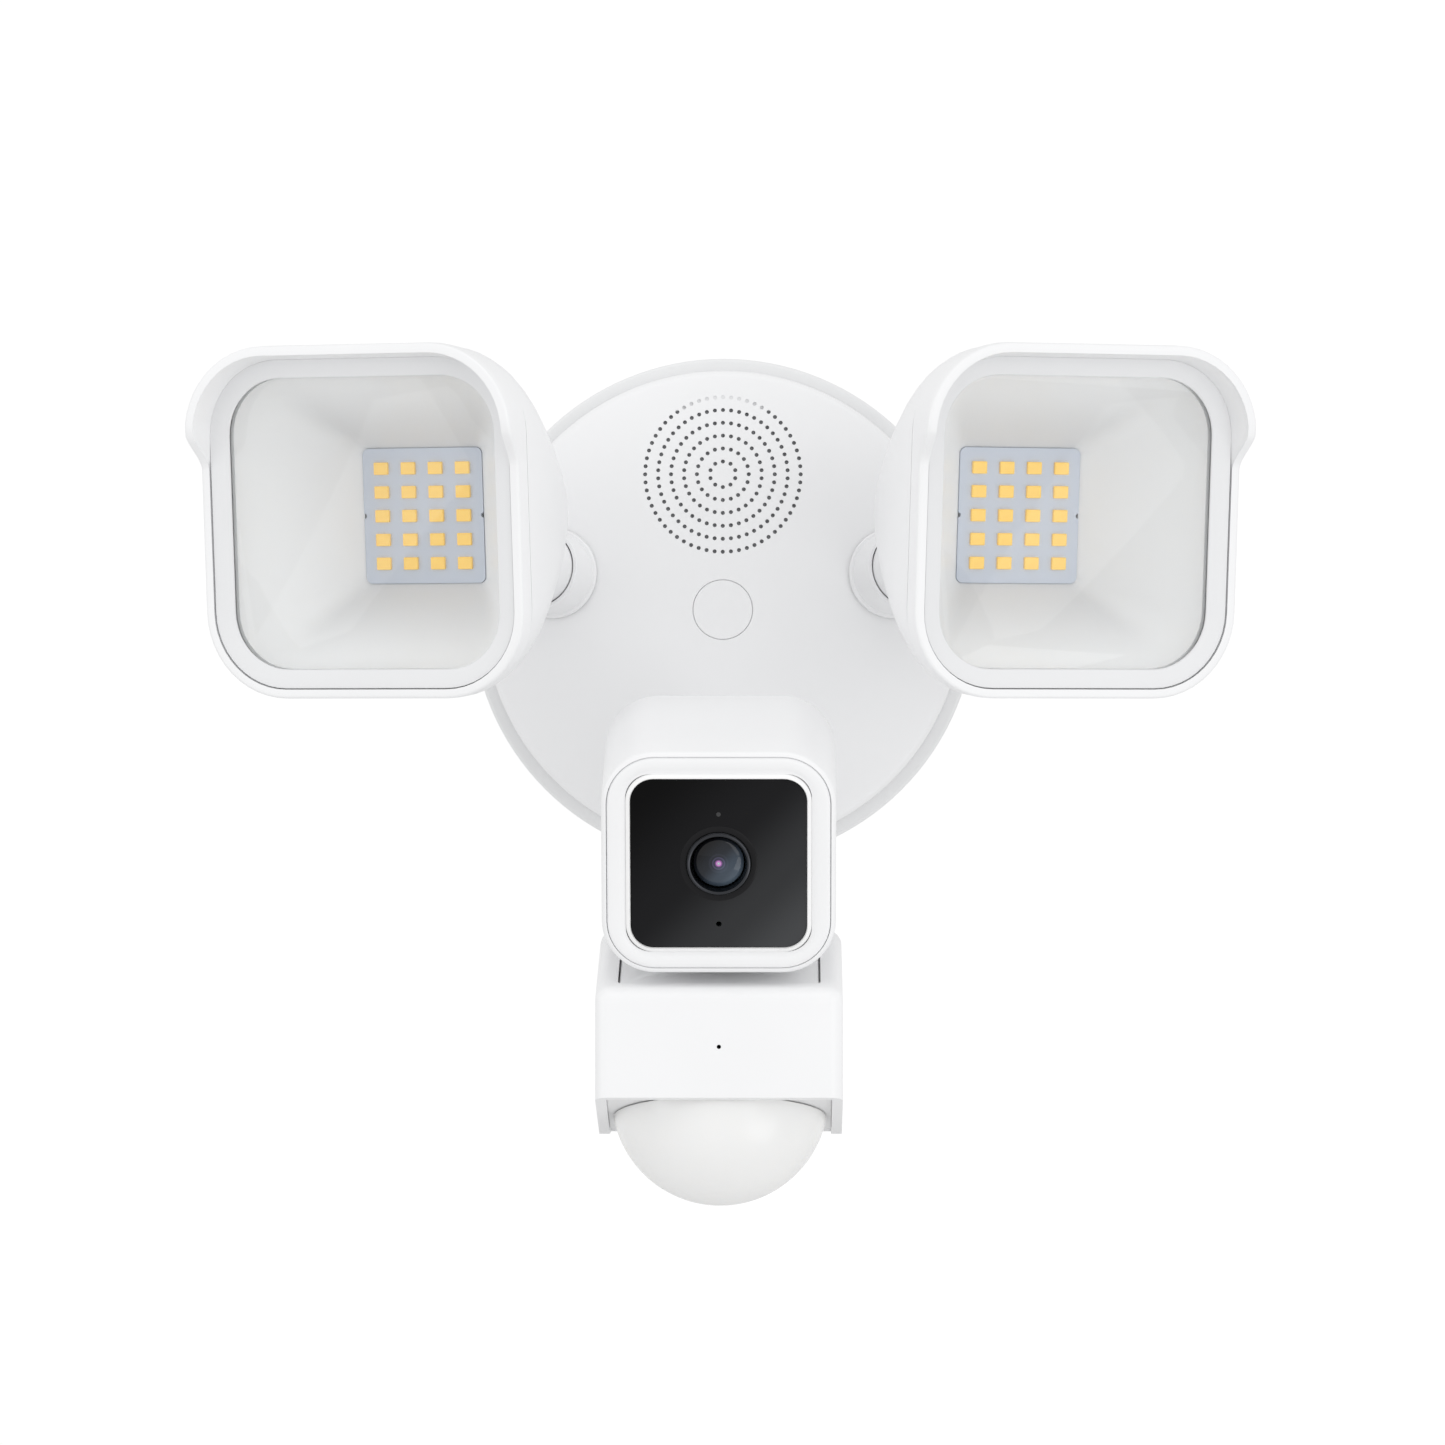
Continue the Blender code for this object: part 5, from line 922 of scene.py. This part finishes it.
bright_plastic = moulded_plastic("bright_plastic", (0.93, 0.93, 0.93), 0.30)
lip_steps = [(0.0, -0.0025), (0.0, -0.0002), (0.00012, 0.0001), (0.00035, 0.0004), (0.0006, 0.0006),
             (0.0008, 0.00066), (0.00095, 0.0005), (0.00102, 0.0001), (0.00102, -0.0025)]
lip = draw_skin("camera_lip", [rounded(0.0412 - 2.0 * inset, 0.0410 - 2.0 * inset,
                                       0.0062 - inset, height, 12)
                               for inset, height in lip_steps], "joined")
settle(lip, camera_place)
hand_over(lip, "camera_body", "white_shell", bright_plastic, "camera_face_ring", angle=60.0)


def across_face(material, turn, near, far):
    """A value that climbs from 0 to 1 across a piece along that direction, between two places."""
    nodes, links = material.node_tree.nodes, material.node_tree.links
    place = nodes.new("ShaderNodeTexCoord")
    along = nodes.new("ShaderNodeVectorMath")
    along.operation = "DOT_PRODUCT"
    along.inputs[1].default_value = turn
    climb = nodes.new("ShaderNodeMapRange")
    climb.inputs["From Min"].default_value = near
    climb.inputs["From Max"].default_value = far
    links.new(place.outputs["Object"], along.inputs[0])
    links.new(along.outputs["Value"], climb.inputs["Value"])
    return climb.outputs["Result"]


def colour_ramp(material, value, stops):
    """Colours along a value."""
    ramp = material.node_tree.nodes.new("ShaderNodeValToRGB")
    ramp.color_ramp.interpolation = "EASE"
    while len(ramp.color_ramp.elements) < len(stops):
        ramp.color_ramp.elements.new(0.5)
    for element, (place, colour) in zip(ramp.color_ramp.elements, stops):
        element.position = place
        element.color = (*colour, 1.0)
    material.node_tree.links.new(value, ramp.inputs["Fac"])
    return ramp.outputs["Color"]


black_glass, black_shader = plain_material("black_glass", (0.008, 0.008, 0.009), 0.10)
black_shader.inputs["Specular IOR Level"].default_value = 0.12
diagonal = Vector((1.0, 0.0, -1.0)).normalized()
middle = camera_place.translation.dot(diagonal)
# Painted reflection: the panel's colour runs from black at the upper left to a lighter grey at the
# lower right.
colour_blend = colour_ramp(black_glass, across_face(black_glass, diagonal, middle - 0.024, middle + 0.024),
                   [(0.0, (0.0003, 0.0003, 0.0004)), (0.45, (0.009, 0.009, 0.010)),
                    (0.75, (0.032, 0.033, 0.035)), (1.0, (0.058, 0.060, 0.063))])
black_glass.node_tree.links.new(colour_blend, black_shader.inputs["Base Color"])
panel = draw_skin("camera_glass", [rounded(0.03914 - 2.0 * inset, 0.03894 - 2.0 * inset,
                                           0.0052 - inset, height, 12)
                                   for inset, height in ((0.0, -0.0015), (0.0, -0.0002),
                                                         (0.0002, 0.0))])
settle(panel, camera_place)
combine(panel, rod("lens_hole", 0.0075, -0.0030, 0.0020, camera_place, 64))
combine(panel, rod("sound_port", 0.00062, -0.0030, 0.0020,
                   camera_place @ Matrix.Translation((0.0, -0.0140, 0.0)), 24))
hand_over(panel, "camera_body", "black_panel", black_glass, "camera_front_panel")

light_window = moulded_plastic("light_window", (0.035, 0.035, 0.037), 0.30)
window = turn_profile("status_light", [(0.0, -0.0004), (0.0005, -0.0004), (0.0005, 0.00004),
                                       (0.0, 0.00006)], steps=24, closed=False)
settle(window, camera_place @ Matrix.Translation((0.0, 0.0113, 0.0)))
hand_over(window, "camera_body", "black_panel", light_window)

# Camera lens: a dark metal ring round a slightly domed front glass with a coating, in a black bed,
# over a black barrel. The boards behind it carry the infrared lamps and the processor.
ring_metal, _ = plain_material("dark_ring_metal", (0.05, 0.052, 0.058), 0.24, 1.0)
lens_ring = turn_profile("lens_surround", [
    (0.0059, -0.0027), (0.0072, -0.0027), (0.0072, 0.0004), (0.0070, 0.0007), (0.0067, 0.0008),
    (0.0064, 0.0007), (0.0062, 0.0003), (0.0059, -0.0006)], steps=96)
settle(lens_ring, camera_place)
hand_over(lens_ring, "camera_body", "black_panel", ring_metal, "camera_lens_ring")

lens_bed, bed_shader = plain_material("lens_bed", (0.010, 0.010, 0.011), 0.22)
bed_shader.inputs["Specular IOR Level"].default_value = 0.15
bed = turn_profile("lens_bed", [(0.0073, -0.0004), (0.0086, -0.0004), (0.0086, 0.00006),
                                (0.0085, 0.00012), (0.0073, 0.00012)], steps=96)
settle(bed, camera_place)
hand_over(bed, "camera_body", "black_panel", lens_bed)

# The front glass's colour paints its light: a highlight, its coating's reflection, glints and a sheen.
coated, coated_shader = plain_material("coated_lens_painted_glints", (0.012, 0.02, 0.04), 0.04)
coated_shader.inputs["Specular IOR Level"].default_value = 0.35
nodes, links = coated.node_tree.nodes, coated.node_tree.links
place = nodes.new("ShaderNodeTexCoord")
from_axis = nodes.new("ShaderNodeVectorMath")
from_axis.operation = "DISTANCE"
from_axis.inputs[1].default_value = camera_place.translation
reach = nodes.new("ShaderNodeMapRange")
reach.inputs["From Max"].default_value = 0.0056
links.new(place.outputs["Object"], from_axis.inputs[0])
links.new(from_axis.outputs["Value"], reach.inputs["Value"])
# Painted highlight and reflections: pale in the middle, a magenta reflection of the coating round it,
# then faint lighter rings in the dark.
painted_glint_rings = colour_ramp(coated, reach.outputs["Result"], [
    (0.0, (0.75, 0.80, 0.85)), (0.045, (0.30, 0.38, 0.42)), (0.075, (0.60, 0.22, 0.55)),
    (0.13, (0.16, 0.05, 0.20)), (0.17, (0.012, 0.012, 0.02)), (0.24, (0.05, 0.04, 0.08)),
    (0.28, (0.004, 0.004, 0.006)), (0.36, (0.012, 0.012, 0.018)), (0.42, (0.002, 0.002, 0.003))])
# Painted sheen: a bluish reflection growing towards the lower right.
sheen = colour_ramp(coated, across_face(coated, diagonal, middle - 0.0050, middle + 0.0058), [
    (0.0, (0.0, 0.0, 0.0)), (0.35, (0.010, 0.013, 0.018)), (0.7, (0.045, 0.062, 0.085)),
    (1.0, (0.10, 0.135, 0.175))])
both = nodes.new("ShaderNodeMix")
both.data_type = "RGBA"
both.blend_type = "ADD"
both.inputs["Factor"].default_value = 1.0
links.new(painted_glint_rings, both.inputs["A"])
links.new(sheen, both.inputs["B"])
links.new(both.outputs["Result"], coated_shader.inputs["Base Color"])
front_glass = turn_profile("lens_front", [(0.0, -0.0021), (0.0056, -0.0021), (0.0056, -0.0012)]
                           + arc(0.0149, 68.0, 89.8, 14, (0.0, -0.0149 + 0.0001))[1:]
                           + [(0.0, 0.0001)], steps=96, closed=False)
settle(front_glass, camera_place)
hand_over(front_glass, "camera_body", "lens_glass", coated, "camera_lens")
repaint("camera_lens_barrel", nylon)
for node in ("infrared_board", "camera_main_board"):
    repaint(node, circuit)
